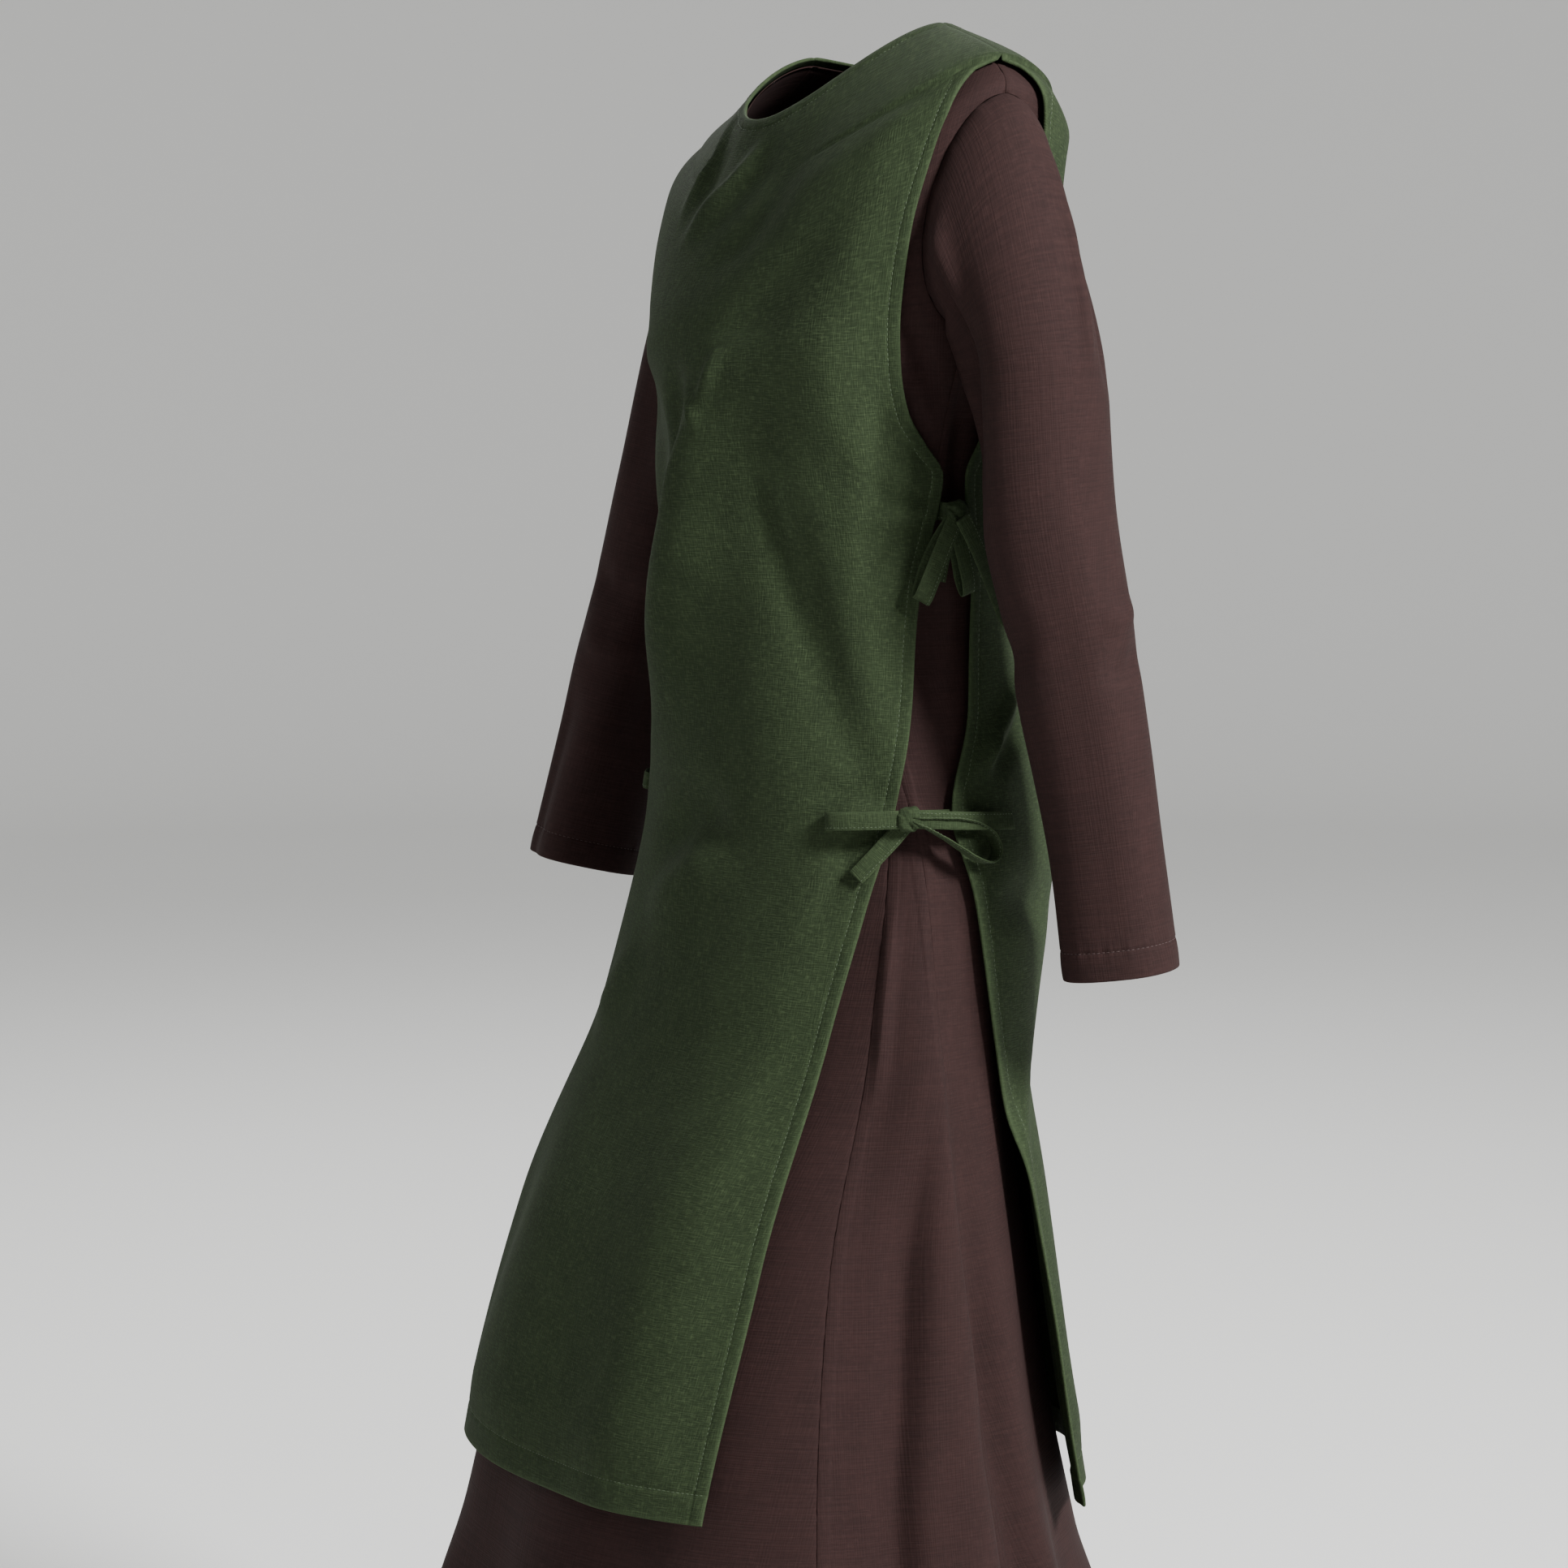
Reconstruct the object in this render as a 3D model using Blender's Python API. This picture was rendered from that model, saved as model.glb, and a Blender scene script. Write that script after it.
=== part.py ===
"""Medieval gown worn under a sleeveless overgown that is tied at the sides with tape bows.

Metres, +Z up. The front of the garment faces -Y and the wearer's left side is at +X. Height zero is
the level of the high shoulder points, where the neck opening meets the shoulder line.

Every cloth piece is a thin closed wall laid over one surface, the garment's form. That surface is a
stack of rings: an angle runs round the body from the centre front (0 degrees) over the wearer's left
side (90 degrees) to the centre back, and a level counts down the rings of the table BODY.
"""
from typing import NamedTuple

import bpy
import numpy as np

GOWN_WALL = 0.0020
OVER_WALL = 0.0020
TAPE_WALL = 0.0018
TAPE_WIDTH = 0.0125
SEAM_GAP = 0.0005
RING_DROP_POWER = 1.6

GOWN_COLUMNS = 18
OVER_COLUMNS = 16
GORE_COLUMNS = 4
ARMHOLE_STEPS = 7
SLEEVE_CAP_ROWS = 4
LOOP_STATIONS = 10
TAIL_STATIONS = 4
STRAP_STATIONS = 10
KNOT_SIDES = 8
KNOT_ROWS = 3


class Ring(NamedTuple):
    """One ring of the garment's form: its heights, its half width, its depths and its middle."""

    place: str
    side: float
    front: float
    back: float
    half_width: float
    front_depth: float
    back_depth: float
    middle: float


BODY = (
    Ring("neck", 0.000, -0.062, -0.022, 0.087, 0.092, 0.048, 0.030),
    Ring("shoulder", -0.013, -0.080, -0.042, 0.126, 0.099, 0.076, 0.030),
    Ring("shoulder tip", -0.030, -0.106, -0.068, 0.163, 0.106, 0.094, 0.028),
    Ring("armhole top", -0.050, -0.135, -0.100, 0.182, 0.112, 0.103, 0.022),
    Ring("mid armhole", -0.120, -0.175, -0.150, 0.177, 0.116, 0.108, 0.012),
    Ring("bust", -0.205, -0.215, -0.205, 0.161, 0.119, 0.108, 0.004),
    Ring("under bust", -0.300, -0.300, -0.300, 0.147, 0.110, 0.101, 0.000),
    Ring("waist", -0.400, -0.400, -0.400, 0.140, 0.101, 0.096, 0.000),
    Ring("high hip", -0.480, -0.480, -0.480, 0.150, 0.104, 0.104, 0.000),
    Ring("hip", -0.550, -0.550, -0.550, 0.162, 0.107, 0.109, 0.000),
    Ring("thigh", -0.690, -0.690, -0.690, 0.184, 0.117, 0.116, -0.022),
    Ring("above knee", -0.840, -0.840, -0.840, 0.214, 0.162, 0.162, -0.050),
    Ring("knee", -1.000, -1.000, -1.000, 0.248, 0.202, 0.196, -0.060),
    Ring("calf", -1.180, -1.180, -1.180, 0.282, 0.244, 0.236, -0.060),
    Ring("hem", -1.360, -1.360, -1.360, 0.310, 0.272, 0.264, -0.058),
)
RIGHT_SHOULDER_DROP = 0.024
RIGHT_SHOULDER_REACH = 0.165
RIGHT_SHOULDER_END = 6.0


class Clearance(NamedTuple):
    """How far the overgown's outer face stands off the gown's outer face at one level."""

    level: float
    front: float
    side: float
    back: float


CLEARANCES = (
    Clearance(0.0, 0.0036, 0.0034, 0.0036),
    Clearance(2.0, 0.0050, 0.0054, 0.0050),
    Clearance(3.0, 0.0070, 0.0065, 0.0070),
    Clearance(5.0, 0.0100, 0.0075, 0.0090),
    Clearance(7.0, 0.0140, 0.0085, 0.0110),
    Clearance(9.0, 0.0150, 0.0100, 0.0130),
    Clearance(12.2, 0.0130, 0.0120, 0.0140),
    Clearance(14.0, 0.0130, 0.0120, 0.0140),
)


class SideSeam(NamedTuple):
    """Angles in degrees of the gown front's edge and the gown back's edge at one level."""

    level: float
    front: float
    back: float


SIDE_SEAMS = (
    SideSeam(0.0, 90.0, 90.0),
    SideSeam(5.0, 90.0, 90.0),
    SideSeam(6.0, 85.0, 85.0),
    SideSeam(7.0, 76.0, 76.0),
    SideSeam(7.9, 67.5, 67.5),
    SideSeam(9.0, 64.5, 74.0),
    SideSeam(10.0, 64.5, 87.0),
    SideSeam(11.4, 64.5, 104.0),
    SideSeam(14.0, 64.5, 112.0),
)


class OverEdge(NamedTuple):
    """Angles in degrees of the overgown front's edge and the overgown back's edge at one level."""

    level: float
    front: float
    back: float


OVER_EDGES = (
    OverEdge(0.00, 90.0, 90.0),
    OverEdge(2.00, 90.0, 90.0),
    OverEdge(2.15, 81.0, 98.0),
    OverEdge(2.80, 72.0, 106.0),
    OverEdge(3.40, 68.0, 110.0),
    OverEdge(4.10, 65.5, 113.0),
    OverEdge(4.70, 67.0, 113.0),
    OverEdge(5.30, 70.0, 110.0),
    OverEdge(5.60, 73.5, 106.0),
    OverEdge(5.83, 80.0, 100.0),
    OverEdge(6.04, 86.3, 95.3),
    OverEdge(6.80, 79.5, 101.1),
    OverEdge(7.75, 75.0, 96.6),
    OverEdge(8.90, 66.2, 85.6),
    OverEdge(9.40, 59.5, 94.6),
    OverEdge(10.15, 52.9, 109.5),
    OverEdge(10.97, 50.5, 122.5),
    OverEdge(12.00, 45.0, 129.0),
    OverEdge(12.16, 44.2, 130.0),
)
OVER_NECK_LEVEL = 0.0
OVER_FRONT_HEM_LEVEL = 12.0
OVER_BACK_HEM_LEVEL = 12.16


class Furrow(NamedTuple):
    """A soft valley down the gown's skirt, deepest at the hem."""

    angle: float
    hem_angle: float
    top: float
    depth: float
    spread: float


SKIRT_FURROWS = (
    Furrow(-150.0, -156.0, -0.60, 0.022, 11.0),
    Furrow(-103.0, -106.0, -0.55, 0.026, 9.0),
    Furrow(-72.0, -73.0, -0.62, 0.016, 8.0),
    Furrow(-38.0, -40.0, -0.75, 0.024, 10.0),
    Furrow(-4.0, -6.0, -0.80, 0.020, 11.0),
    Furrow(28.0, 31.0, -0.75, 0.022, 10.0),
    Furrow(71.0, 73.0, -0.64, 0.013, 7.0),
    Furrow(96.0, 101.0, -0.55, 0.026, 8.0),
    Furrow(128.0, 134.0, -0.60, 0.022, 10.0),
    Furrow(172.0, 174.0, -0.62, 0.024, 12.0),
)


class DrapeFold(NamedTuple):
    """A ridge (positive height) or valley (negative) in an overgown panel, between two levels."""

    panel: str
    angle_top: float
    angle_bottom: float
    level_top: float
    level_bottom: float
    height: float
    spread: float


DRAPE_FOLDS = (
    DrapeFold("front", 18.0, -22.0, 4.9, 8.6, 0.011, 13.0),
    DrapeFold("front", -20.0, -30.0, 5.0, 7.2, -0.007, 14.0),
    DrapeFold("front", 34.0, 52.0, 6.2, 9.2, -0.005, 10.0),
    DrapeFold("back", 150.0, 140.0, 7.4, 10.2, 0.012, 16.0),
    DrapeFold("back", -150.0, -140.0, 7.4, 10.2, 0.011, 16.0),
)


class ArmRing(NamedTuple):
    """One section of a sleeve: its middle, its half width across the body and its half depth."""

    place: str
    x: float
    y: float
    z: float
    half_width: float
    half_depth: float


LEFT_ARM = (
    ArmRing("upper arm", 0.209, 0.030, -0.235, 0.045, 0.049),
    ArmRing("above elbow", 0.217, 0.035, -0.325, 0.041, 0.047),
    ArmRing("elbow", 0.228, 0.047, -0.408, 0.039, 0.043),
    ArmRing("below elbow", 0.238, 0.060, -0.490, 0.036, 0.039),
    ArmRing("forearm", 0.246, 0.069, -0.562, 0.034, 0.037),
    ArmRing("cuff", 0.252, 0.077, -0.638, 0.035, 0.038),
)
RIGHT_ARM = (
    ArmRing("upper arm", -0.207, 0.000, -0.245, 0.045, 0.049),
    ArmRing("above elbow", -0.216, -0.018, -0.327, 0.042, 0.046),
    ArmRing("elbow", -0.228, -0.034, -0.405, 0.040, 0.045),
    ArmRing("below elbow", -0.238, -0.053, -0.482, 0.038, 0.045),
    ArmRing("forearm", -0.245, -0.069, -0.550, 0.037, 0.046),
    ArmRing("cuff", -0.250, -0.084, -0.613, 0.038, 0.047),
)
ARMHOLE_LEVEL = 4.0
ARMHOLE_LEVEL_REACH = 1.0
ARMHOLE_HALF_ANGLE = 21.0
ARMHOLE_INSET = 0.0009
CAP_OUTWARD = 0.105
CAP_DROP = 0.020
UNDERARM_OUTWARD = 0.070
UNDERARM_DROP = 0.012


class Bow(NamedTuple):
    """Where a bow's knot stands: the side of the body, its angle and its height."""

    name: str
    side: int
    angle: float
    height: float


BOWS = (
    Bow("upper_left", 1, 90.5, -0.328),
    Bow("upper_right", -1, 90.5, -0.328),
    Bow("lower_left", 1, 71.2, -0.538),
    Bow("lower_right", -1, 71.2, -0.538),
)


class Tape(NamedTuple):
    """One loop or tail of a bow. The direction turns from forward (0) through down (90) to back (180)."""

    bow: str
    piece: str
    direction: float
    reach: float
    belly: float
    sag: float
    on_edge: float
    stand: float


TAPES = (
    Tape("upper", "loop_front", 84.0, 0.054, 0.0035, 0.000, 0.0, 0.0105),
    Tape("upper", "loop_back", 106.0, 0.056, 0.0030, 0.000, 0.0, 0.0065),
    Tape("upper", "tail_front", 66.0, 0.050, 0.0, 0.000, 0.0, 0.0045),
    Tape("upper", "tail_back", 134.0, 0.082, 0.0, 0.014, 0.0, 0.0100),
    Tape("lower", "loop_front", 2.0, 0.050, 0.0030, 0.000, 0.0, 0.0075),
    Tape("lower", "loop_back", 166.0, 0.064, 0.0100, 0.010, 90.0, 0.0085),
    Tape("lower", "tail_front", 40.0, 0.056, 0.0, 0.006, 0.0, 0.0040),
    Tape("lower", "tail_back", 176.0, 0.076, 0.0, 0.000, 0.0, 0.0115),
)
KNOT_HALF_ALONG = 0.0065
KNOT_HALF_UP = 0.0090
KNOT_HALF_OUT = 0.0065
KNOT_STAND = 0.0080
TAPE_START = 0.0020
STRAP_END = 0.0020
STRAP_LAP = 0.010
STRAP_LAP_GAP = 0.0012
STRAP_EDGE_GAP = 0.0020
STRAP_STAND = 0.0050

GREEN = (0.052, 0.089, 0.047, 1.0)
BROWN = (0.066, 0.032, 0.029, 1.0)
CLOTH_ROUGHNESS = 0.9


def smooth_table(position, places, values):
    """Monotone cubic reading of a table: the columns in values follow the rising numbers in places."""
    places = np.asarray(places, dtype=float)
    values = np.asarray(values, dtype=float)
    step = np.diff(places)[:, None]
    slope = np.diff(values, axis=0) / step
    product = slope[:-1] * slope[1:]
    total = slope[:-1] + slope[1:]
    inner = np.where(product > 0.0, 2.0 * product / np.where(total == 0.0, 1.0, total), 0.0)
    tangent = np.concatenate([slope[:1], inner, slope[-1:]], axis=0)
    at = np.clip(np.asarray(position, dtype=float), places[0], places[-1])
    row = np.clip(np.searchsorted(places, at, side="right") - 1, 0, len(places) - 2)
    span = step[row, 0][..., None]
    share = ((at - places[row]) / step[row, 0])[..., None]
    low = (1.0 + 2.0 * share) * (1.0 - share) ** 2
    high = share ** 2 * (3.0 - 2.0 * share)
    low_turn = share * (1.0 - share) ** 2 * span
    high_turn = share ** 2 * (share - 1.0) * span
    return low * values[row] + high * values[row + 1] + low_turn * tangent[row] + high_turn * tangent[row + 1]


BODY_LEVELS = np.arange(len(BODY))
BODY_VALUES = np.array([ring[1:] for ring in BODY])
EVEN_LEVELS = np.linspace(0.0, len(BODY) - 1.0, 1401)
EVEN_HEIGHTS = smooth_table(EVEN_LEVELS, BODY_LEVELS, BODY_VALUES)[:, 0]


def level_at(height):
    """The level whose side height is the given one."""
    return np.interp(-np.asarray(height, dtype=float), -EVEN_HEIGHTS, EVEN_LEVELS)


def bare_form(angle, level):
    """The garment's form without folds: an ellipse at each level whose front and back may drop."""
    angle, level = np.broadcast_arrays(np.asarray(angle, dtype=float), np.asarray(level, dtype=float))
    side, front, back, half_width, front_depth, back_depth, middle = np.moveaxis(
        smooth_table(level, BODY_LEVELS, BODY_VALUES), -1, 0)
    cosine = np.cos(angle)
    forward = cosine > 0.0
    depth = np.where(forward, front_depth, back_depth)
    drop = np.where(forward, front, back) - side
    x = half_width * np.sin(angle)
    y = middle - depth * cosine
    z = side + drop * np.abs(cosine) ** RING_DROP_POWER
    to_right = np.clip(-x / RIGHT_SHOULDER_REACH, 0.0, 1.0)
    upper = 1.0 - np.clip(level / RIGHT_SHOULDER_END, 0.0, 1.0) ** 2
    z = z - RIGHT_SHOULDER_DROP * to_right ** 2 * (3.0 - 2.0 * to_right) * upper
    return np.stack([x, y, z], axis=-1)


def outward(angle, level):
    """Unit vectors square to the form, pointing away from the body."""
    step = 1e-3
    low = np.maximum(np.asarray(level, dtype=float) - step, 0.0)
    high = np.minimum(np.asarray(level, dtype=float) + step, len(BODY) - 1.0)
    round_way = bare_form(angle + step, level) - bare_form(angle - step, level)
    down_way = bare_form(angle, high) - bare_form(angle, low)
    square = np.cross(down_way, round_way)
    return square / np.linalg.norm(square, axis=-1, keepdims=True)


def furrow_depth(angle, level):
    """Depth of the skirt's soft valleys, each a bell across the angle that deepens toward the hem."""
    height = bare_form(angle, level)[..., 2]
    hem = BODY[-1].side
    total = np.zeros_like(height)
    for furrow in SKIRT_FURROWS:
        share = np.clip((furrow.top - height) / (furrow.top - hem), 0.0, 1.0)
        line = np.radians(furrow.angle + (furrow.hem_angle - furrow.angle) * share)
        away = np.angle(np.exp(1j * (angle - line))) / np.radians(furrow.spread)
        total = total + furrow.depth * share ** 0.9 * np.exp(-away ** 2)
    return total


def fold_height(panel, angle, level):
    """Height of an overgown panel's large folds, each a bell across the angle along a slanting line."""
    total = np.zeros(np.broadcast(angle, level).shape)
    for fold in DRAPE_FOLDS:
        if fold.panel == panel:
            share = (level - fold.level_top) / (fold.level_bottom - fold.level_top)
            line = np.radians(fold.angle_top + (fold.angle_bottom - fold.angle_top) * share)
            away = np.angle(np.exp(1j * (angle - line))) / np.radians(fold.spread)
            swell = np.sin(np.pi * np.clip(share, 0.0, 1.0)) ** 0.8
            total = total + fold.height * swell * np.exp(-away ** 2)
    return total


def clearance(angle, level):
    """Stand-off of the overgown's outer face, blended from front to side to back."""
    places = [row.level for row in CLEARANCES]
    front, side, back = np.moveaxis(smooth_table(level, places, [row[1:] for row in CLEARANCES]), -1, 0)
    cosine = np.cos(angle)
    return side + (np.where(cosine > 0.0, front, back) - side) * cosine ** 2


def gown_point(angle, level, depth=0.0):
    """Point of the gown at some depth under its outer face."""
    inward = depth + furrow_depth(angle, level)
    return bare_form(angle, level) - outward(angle, level) * inward[..., None]


def over_point(panel, angle, level, raised=0.0):
    """Point of the overgown raised over (or sunk under) its outer face."""
    height = clearance(angle, level) + fold_height(panel, angle, level) + raised
    return bare_form(angle, level) + outward(angle, level) * height[..., None]


def make_material(name, colour):
    """A cloth material of one colour."""
    material = bpy.data.materials.new(name)
    material.use_nodes = True
    shader = material.node_tree.nodes["Principled BSDF"]
    shader.inputs["Base Color"].default_value = colour
    shader.inputs["Roughness"].default_value = CLOTH_ROUGHNESS
    shader.inputs["Metallic"].default_value = 0.0
    return material


def enclosed_volume(points, triangles):
    """Signed volume inside a closed mesh."""
    corner = points[triangles]
    return np.einsum("ij,ij->i", corner[:, 0], np.cross(corner[:, 1], corner[:, 2])).sum() / 6.0


def add_solid(name, points, quads, material):
    """Make one object from points and four-cornered faces, with its faces outward."""
    points = np.asarray(points, dtype=float)
    quads = np.asarray(quads, dtype=int)
    triangles = np.concatenate([quads[:, [0, 1, 2]], quads[:, [0, 2, 3]]])
    if enclosed_volume(points, triangles) < 0.0:
        triangles = triangles[:, ::-1]
    keep = (triangles[:, 0] != triangles[:, 1]) & (triangles[:, 1] != triangles[:, 2])
    keep &= triangles[:, 0] != triangles[:, 2]
    mesh = bpy.data.meshes.new(name)
    mesh.from_pydata(points.tolist(), [], triangles[keep].tolist())
    mesh.update()
    mesh.shade_smooth()
    mesh.materials.append(material)
    item = bpy.data.objects.new(name, mesh)
    bpy.context.scene.collection.objects.link(item)
    return item


def grid_faces(index, closed_rows=False):
    """Faces of a grid of point numbers; closed_rows joins the last column to the first."""
    if closed_rows:
        index = np.concatenate([index, index[:, :1]], axis=1)
    return np.stack([index[:-1, :-1], index[:-1, 1:], index[1:, 1:], index[1:, :-1]], axis=-1).reshape(-1, 4)


def add_wall(name, outer, inner, material, closed_rows=False):
    """A thin closed wall between two grids of points, joined at all its free edges."""
    rows, columns = outer.shape[:2]
    count = rows * columns
    front = np.arange(count).reshape(rows, columns)
    back = front + count
    faces = [grid_faces(front, closed_rows), grid_faces(back, closed_rows)[:, [0, 3, 2, 1]]]
    top = np.stack([back[0], front[0]])
    bottom = np.stack([front[-1], back[-1]])
    faces += [grid_faces(top, closed_rows), grid_faces(bottom, closed_rows)]
    if not closed_rows:
        left = np.stack([front[:, 0], back[:, 0]])
        right = np.stack([back[:, -1], front[:, -1]])
        faces += [grid_faces(left), grid_faces(right)]
    points = np.concatenate([outer.reshape(-1, 3), inner.reshape(-1, 3)])
    return add_solid(name, points, np.concatenate(faces), material)


def seam_share(level):
    """Half the seam gap as an angle at a level's half width."""
    half_width = smooth_table(level, BODY_LEVELS, BODY_VALUES)[..., 3]
    return 0.5 * SEAM_GAP / half_width


def armhole_angle(level):
    """Half the angle that the gown's armhole opens at a level, following an ellipse."""
    share = np.clip((level - ARMHOLE_LEVEL) / ARMHOLE_LEVEL_REACH, -1.0, 1.0)
    return np.radians(ARMHOLE_HALF_ANGLE) * np.sqrt(1.0 - share ** 2)


def gown_levels():
    """Levels of the gown's rows: the shoulder, the armhole in even turns and the skirt."""
    shoulder = np.array([0.14, 1.0, 2.0])
    turns = np.linspace(0.0, np.pi, ARMHOLE_STEPS + 1)
    armhole = ARMHOLE_LEVEL - ARMHOLE_LEVEL_REACH * np.cos(turns)
    skirt = np.array([6.0, 7.0, 7.9, 8.45, 9.0, 9.5, 10.0, 10.7, 11.4, 12.0, 12.65, 13.3, 14.0])
    return np.concatenate([shoulder, armhole, skirt])


def seam_angles(level):
    """Angles of the gown front's edge and the gown back's edge, the armhole included."""
    places = [row.level for row in SIDE_SEAMS]
    edges = np.radians(smooth_table(level, places, [row[1:] for row in SIDE_SEAMS]))
    opening = armhole_angle(level) + seam_share(level)
    return edges[..., 0] - opening, edges[..., 1] + opening


def span_grid(start, stop, columns):
    """Even angles between two edges, one row for each level."""
    share = np.linspace(0.0, 1.0, columns + 1)
    return start[:, None] + (stop - start)[:, None] * share[None, :]


def build_gown_panels(material):
    """The gown's front and back, from the neck over the shoulders to the ankle."""
    levels = gown_levels()
    front_edge, back_edge = seam_angles(levels)
    rows = np.broadcast_to(levels[:, None], (len(levels), GOWN_COLUMNS + 1))
    front = span_grid(-front_edge, front_edge, GOWN_COLUMNS)
    back = span_grid(back_edge, 2.0 * np.pi - back_edge, GOWN_COLUMNS)
    for name, angles in (("gown_front", front), ("gown_back", back)):
        add_wall(name, gown_point(angles, rows), gown_point(angles, rows, GOWN_WALL), material)


def build_gores(material):
    """The wedges let into the side seams from the hip down."""
    levels = gown_levels()
    levels = np.concatenate([[8.2], levels[levels > 8.2]])
    front_edge, back_edge = seam_angles(levels)
    share = 2.0 * seam_share(levels)
    rows = np.broadcast_to(levels[:, None], (len(levels), GORE_COLUMNS + 1))
    left = span_grid(front_edge + share, back_edge - share, GORE_COLUMNS)
    for name, angles in (("gore_left", left), ("gore_right", -left)):
        add_wall(name, gown_point(angles, rows), gown_point(angles, rows, GOWN_WALL), material)


def over_edge_angles(level):
    """Angles of the overgown front's edge and the overgown back's edge."""
    places = [row.level for row in OVER_EDGES]
    edges = np.radians(smooth_table(level, places, [row[1:] for row in OVER_EDGES]))
    gap = np.where(level <= 2.0, seam_share(level), 0.0)
    return edges[..., 0] - gap, edges[..., 1] + gap


def over_levels(hem):
    """Levels of an overgown panel's rows."""
    shoulder = np.array([OVER_NECK_LEVEL, 0.7, 1.4, 2.0])
    armhole = np.array([2.15, 2.45, 2.9, 3.5, 4.1, 4.7, 5.3, 5.6, 5.83, 6.04])
    below = np.array([6.4, 6.8, 7.3, 7.8, 8.4, 8.9, 9.4, 10.15, 10.97, 11.5])
    return np.concatenate([shoulder, armhole, below, [hem]])


def build_over_panels(material):
    """The overgown's front and back, joined only at the shoulders."""
    panels = (("over_front", "front", OVER_FRONT_HEM_LEVEL), ("over_back", "back", OVER_BACK_HEM_LEVEL))
    for name, panel, hem in panels:
        levels = over_levels(hem)
        front_edge, back_edge = over_edge_angles(levels)
        rows = np.broadcast_to(levels[:, None], (len(levels), OVER_COLUMNS + 1))
        if panel == "front":
            angles = span_grid(-front_edge, front_edge, OVER_COLUMNS)
        else:
            angles = span_grid(back_edge, 2.0 * np.pi - back_edge, OVER_COLUMNS)
        outer = over_point(panel, angles, rows)
        inner = over_point(panel, angles, rows, -OVER_WALL)
        add_wall(name, outer, inner, material)


def armhole_loop(side, depth):
    """The sleeve's head line: the armhole's edge drawn in by the inset, one point for each turn."""
    turns = np.linspace(0.0, 2.0 * np.pi, 2 * ARMHOLE_STEPS, endpoint=False)
    level = ARMHOLE_LEVEL - ARMHOLE_LEVEL_REACH * np.cos(turns)
    opening = np.radians(ARMHOLE_HALF_ANGLE) * np.sin(turns)
    angle = side * (np.radians(90.0) - opening)
    loop = gown_point(angle, level, depth)
    inward = loop.mean(axis=0) - loop
    return loop + inward / np.linalg.norm(inward, axis=-1, keepdims=True) * ARMHOLE_INSET


def arm_ring(side, arm, number, depth):
    """One ring of a sleeve, square to the line through the middles of its neighbours."""
    turns = np.linspace(0.0, 2.0 * np.pi, 2 * ARMHOLE_STEPS, endpoint=False)
    ring = arm[number]
    above = arm[max(number - 1, 0)]
    below = arm[min(number + 1, len(arm) - 1)]
    fall = below.z - above.z
    across = side * (ring.half_width - depth) * np.cos(turns)
    along = -(ring.half_depth - depth) * np.sin(turns)
    lift = -(across * (below.x - above.x) + along * (below.y - above.y)) / fall
    return np.stack([ring.x + across, ring.y + along, ring.z + lift], axis=-1)


def sleeve_grid(side, arm, depth):
    """Points of a sleeve at some depth under its outer face: the cap's curve, then the arm's rings."""
    turns = np.linspace(0.0, 2.0 * np.pi, 2 * ARMHOLE_STEPS, endpoint=False)
    rings = np.array([arm_ring(side, arm, number, depth) for number in range(len(arm))])
    head = armhole_loop(side, depth)
    upper = 0.5 * (1.0 + np.cos(turns))
    start = np.stack([
        side * (UNDERARM_OUTWARD + (CAP_OUTWARD - UNDERARM_OUTWARD) * upper),
        -0.02 * np.sin(turns),
        -UNDERARM_DROP + (UNDERARM_DROP - CAP_DROP) * upper,
    ], axis=-1)
    finish = rings[1] - rings[0]
    rows = []
    for share in np.linspace(0.0, 1.0, SLEEVE_CAP_ROWS + 1)[:-1]:
        rows.append(
            (1.0 + 2.0 * share) * (1.0 - share) ** 2 * head
            + share ** 2 * (3.0 - 2.0 * share) * rings[0]
            + share * (1.0 - share) ** 2 * start
            + share ** 2 * (share - 1.0) * finish)
    return np.concatenate([np.array(rows), rings])


def build_sleeves(material):
    """The two long sleeves, each a tube from the armhole to the cuff."""
    for name, side, arm in (("sleeve_left", 1, LEFT_ARM), ("sleeve_right", -1, RIGHT_ARM)):
        add_wall(name, sleeve_grid(side, arm, 0.0), sleeve_grid(side, arm, GOWN_WALL), material, closed_rows=True)


def tie_point(bow, along, drop, raised):
    """Point near a bow: forward along the cloth, down, and raised over the overgown's outer face."""
    height = bow.height - drop
    level = level_at(height)
    values = smooth_table(level, BODY_LEVELS, BODY_VALUES)
    radius = 0.5 * (values[..., 3] + values[..., 4])
    angle = np.radians(bow.angle) - along / radius
    point = bare_form(angle, level) + outward(angle, level) * (clearance(angle, level) + raised)[..., None]
    return point * np.array([bow.side, 1.0, 1.0])


def tie_frame(bow, along, drop, raised):
    """Unit vectors forward, down and outward at each point near a bow."""
    step = 1e-4
    here = tie_point(bow, along, drop, raised)
    forward = tie_point(bow, along + step, drop, raised) - here
    down = tie_point(bow, along, drop + step, raised) - here
    away = tie_point(bow, along, drop, raised + step) - here
    return [vector / np.linalg.norm(vector, axis=-1, keepdims=True) for vector in (forward, down, away)]


def add_tape(name, points, across, material):
    """A flat tape swept along points, with the given directions across its width."""
    along = np.gradient(points, axis=0)
    along /= np.linalg.norm(along, axis=-1, keepdims=True)
    across = across - along * np.einsum("ij,ij->i", along, across)[:, None]
    across /= np.linalg.norm(across, axis=-1, keepdims=True)
    through = np.cross(along, across)
    half_width = across * 0.5 * TAPE_WIDTH
    half_wall = through * 0.5 * TAPE_WALL
    outer = np.stack([points - half_width + half_wall, points + half_width + half_wall], axis=1)
    inner = np.stack([points - half_width - half_wall, points + half_width - half_wall], axis=1)
    return add_wall(name, outer, inner, material)


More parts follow.
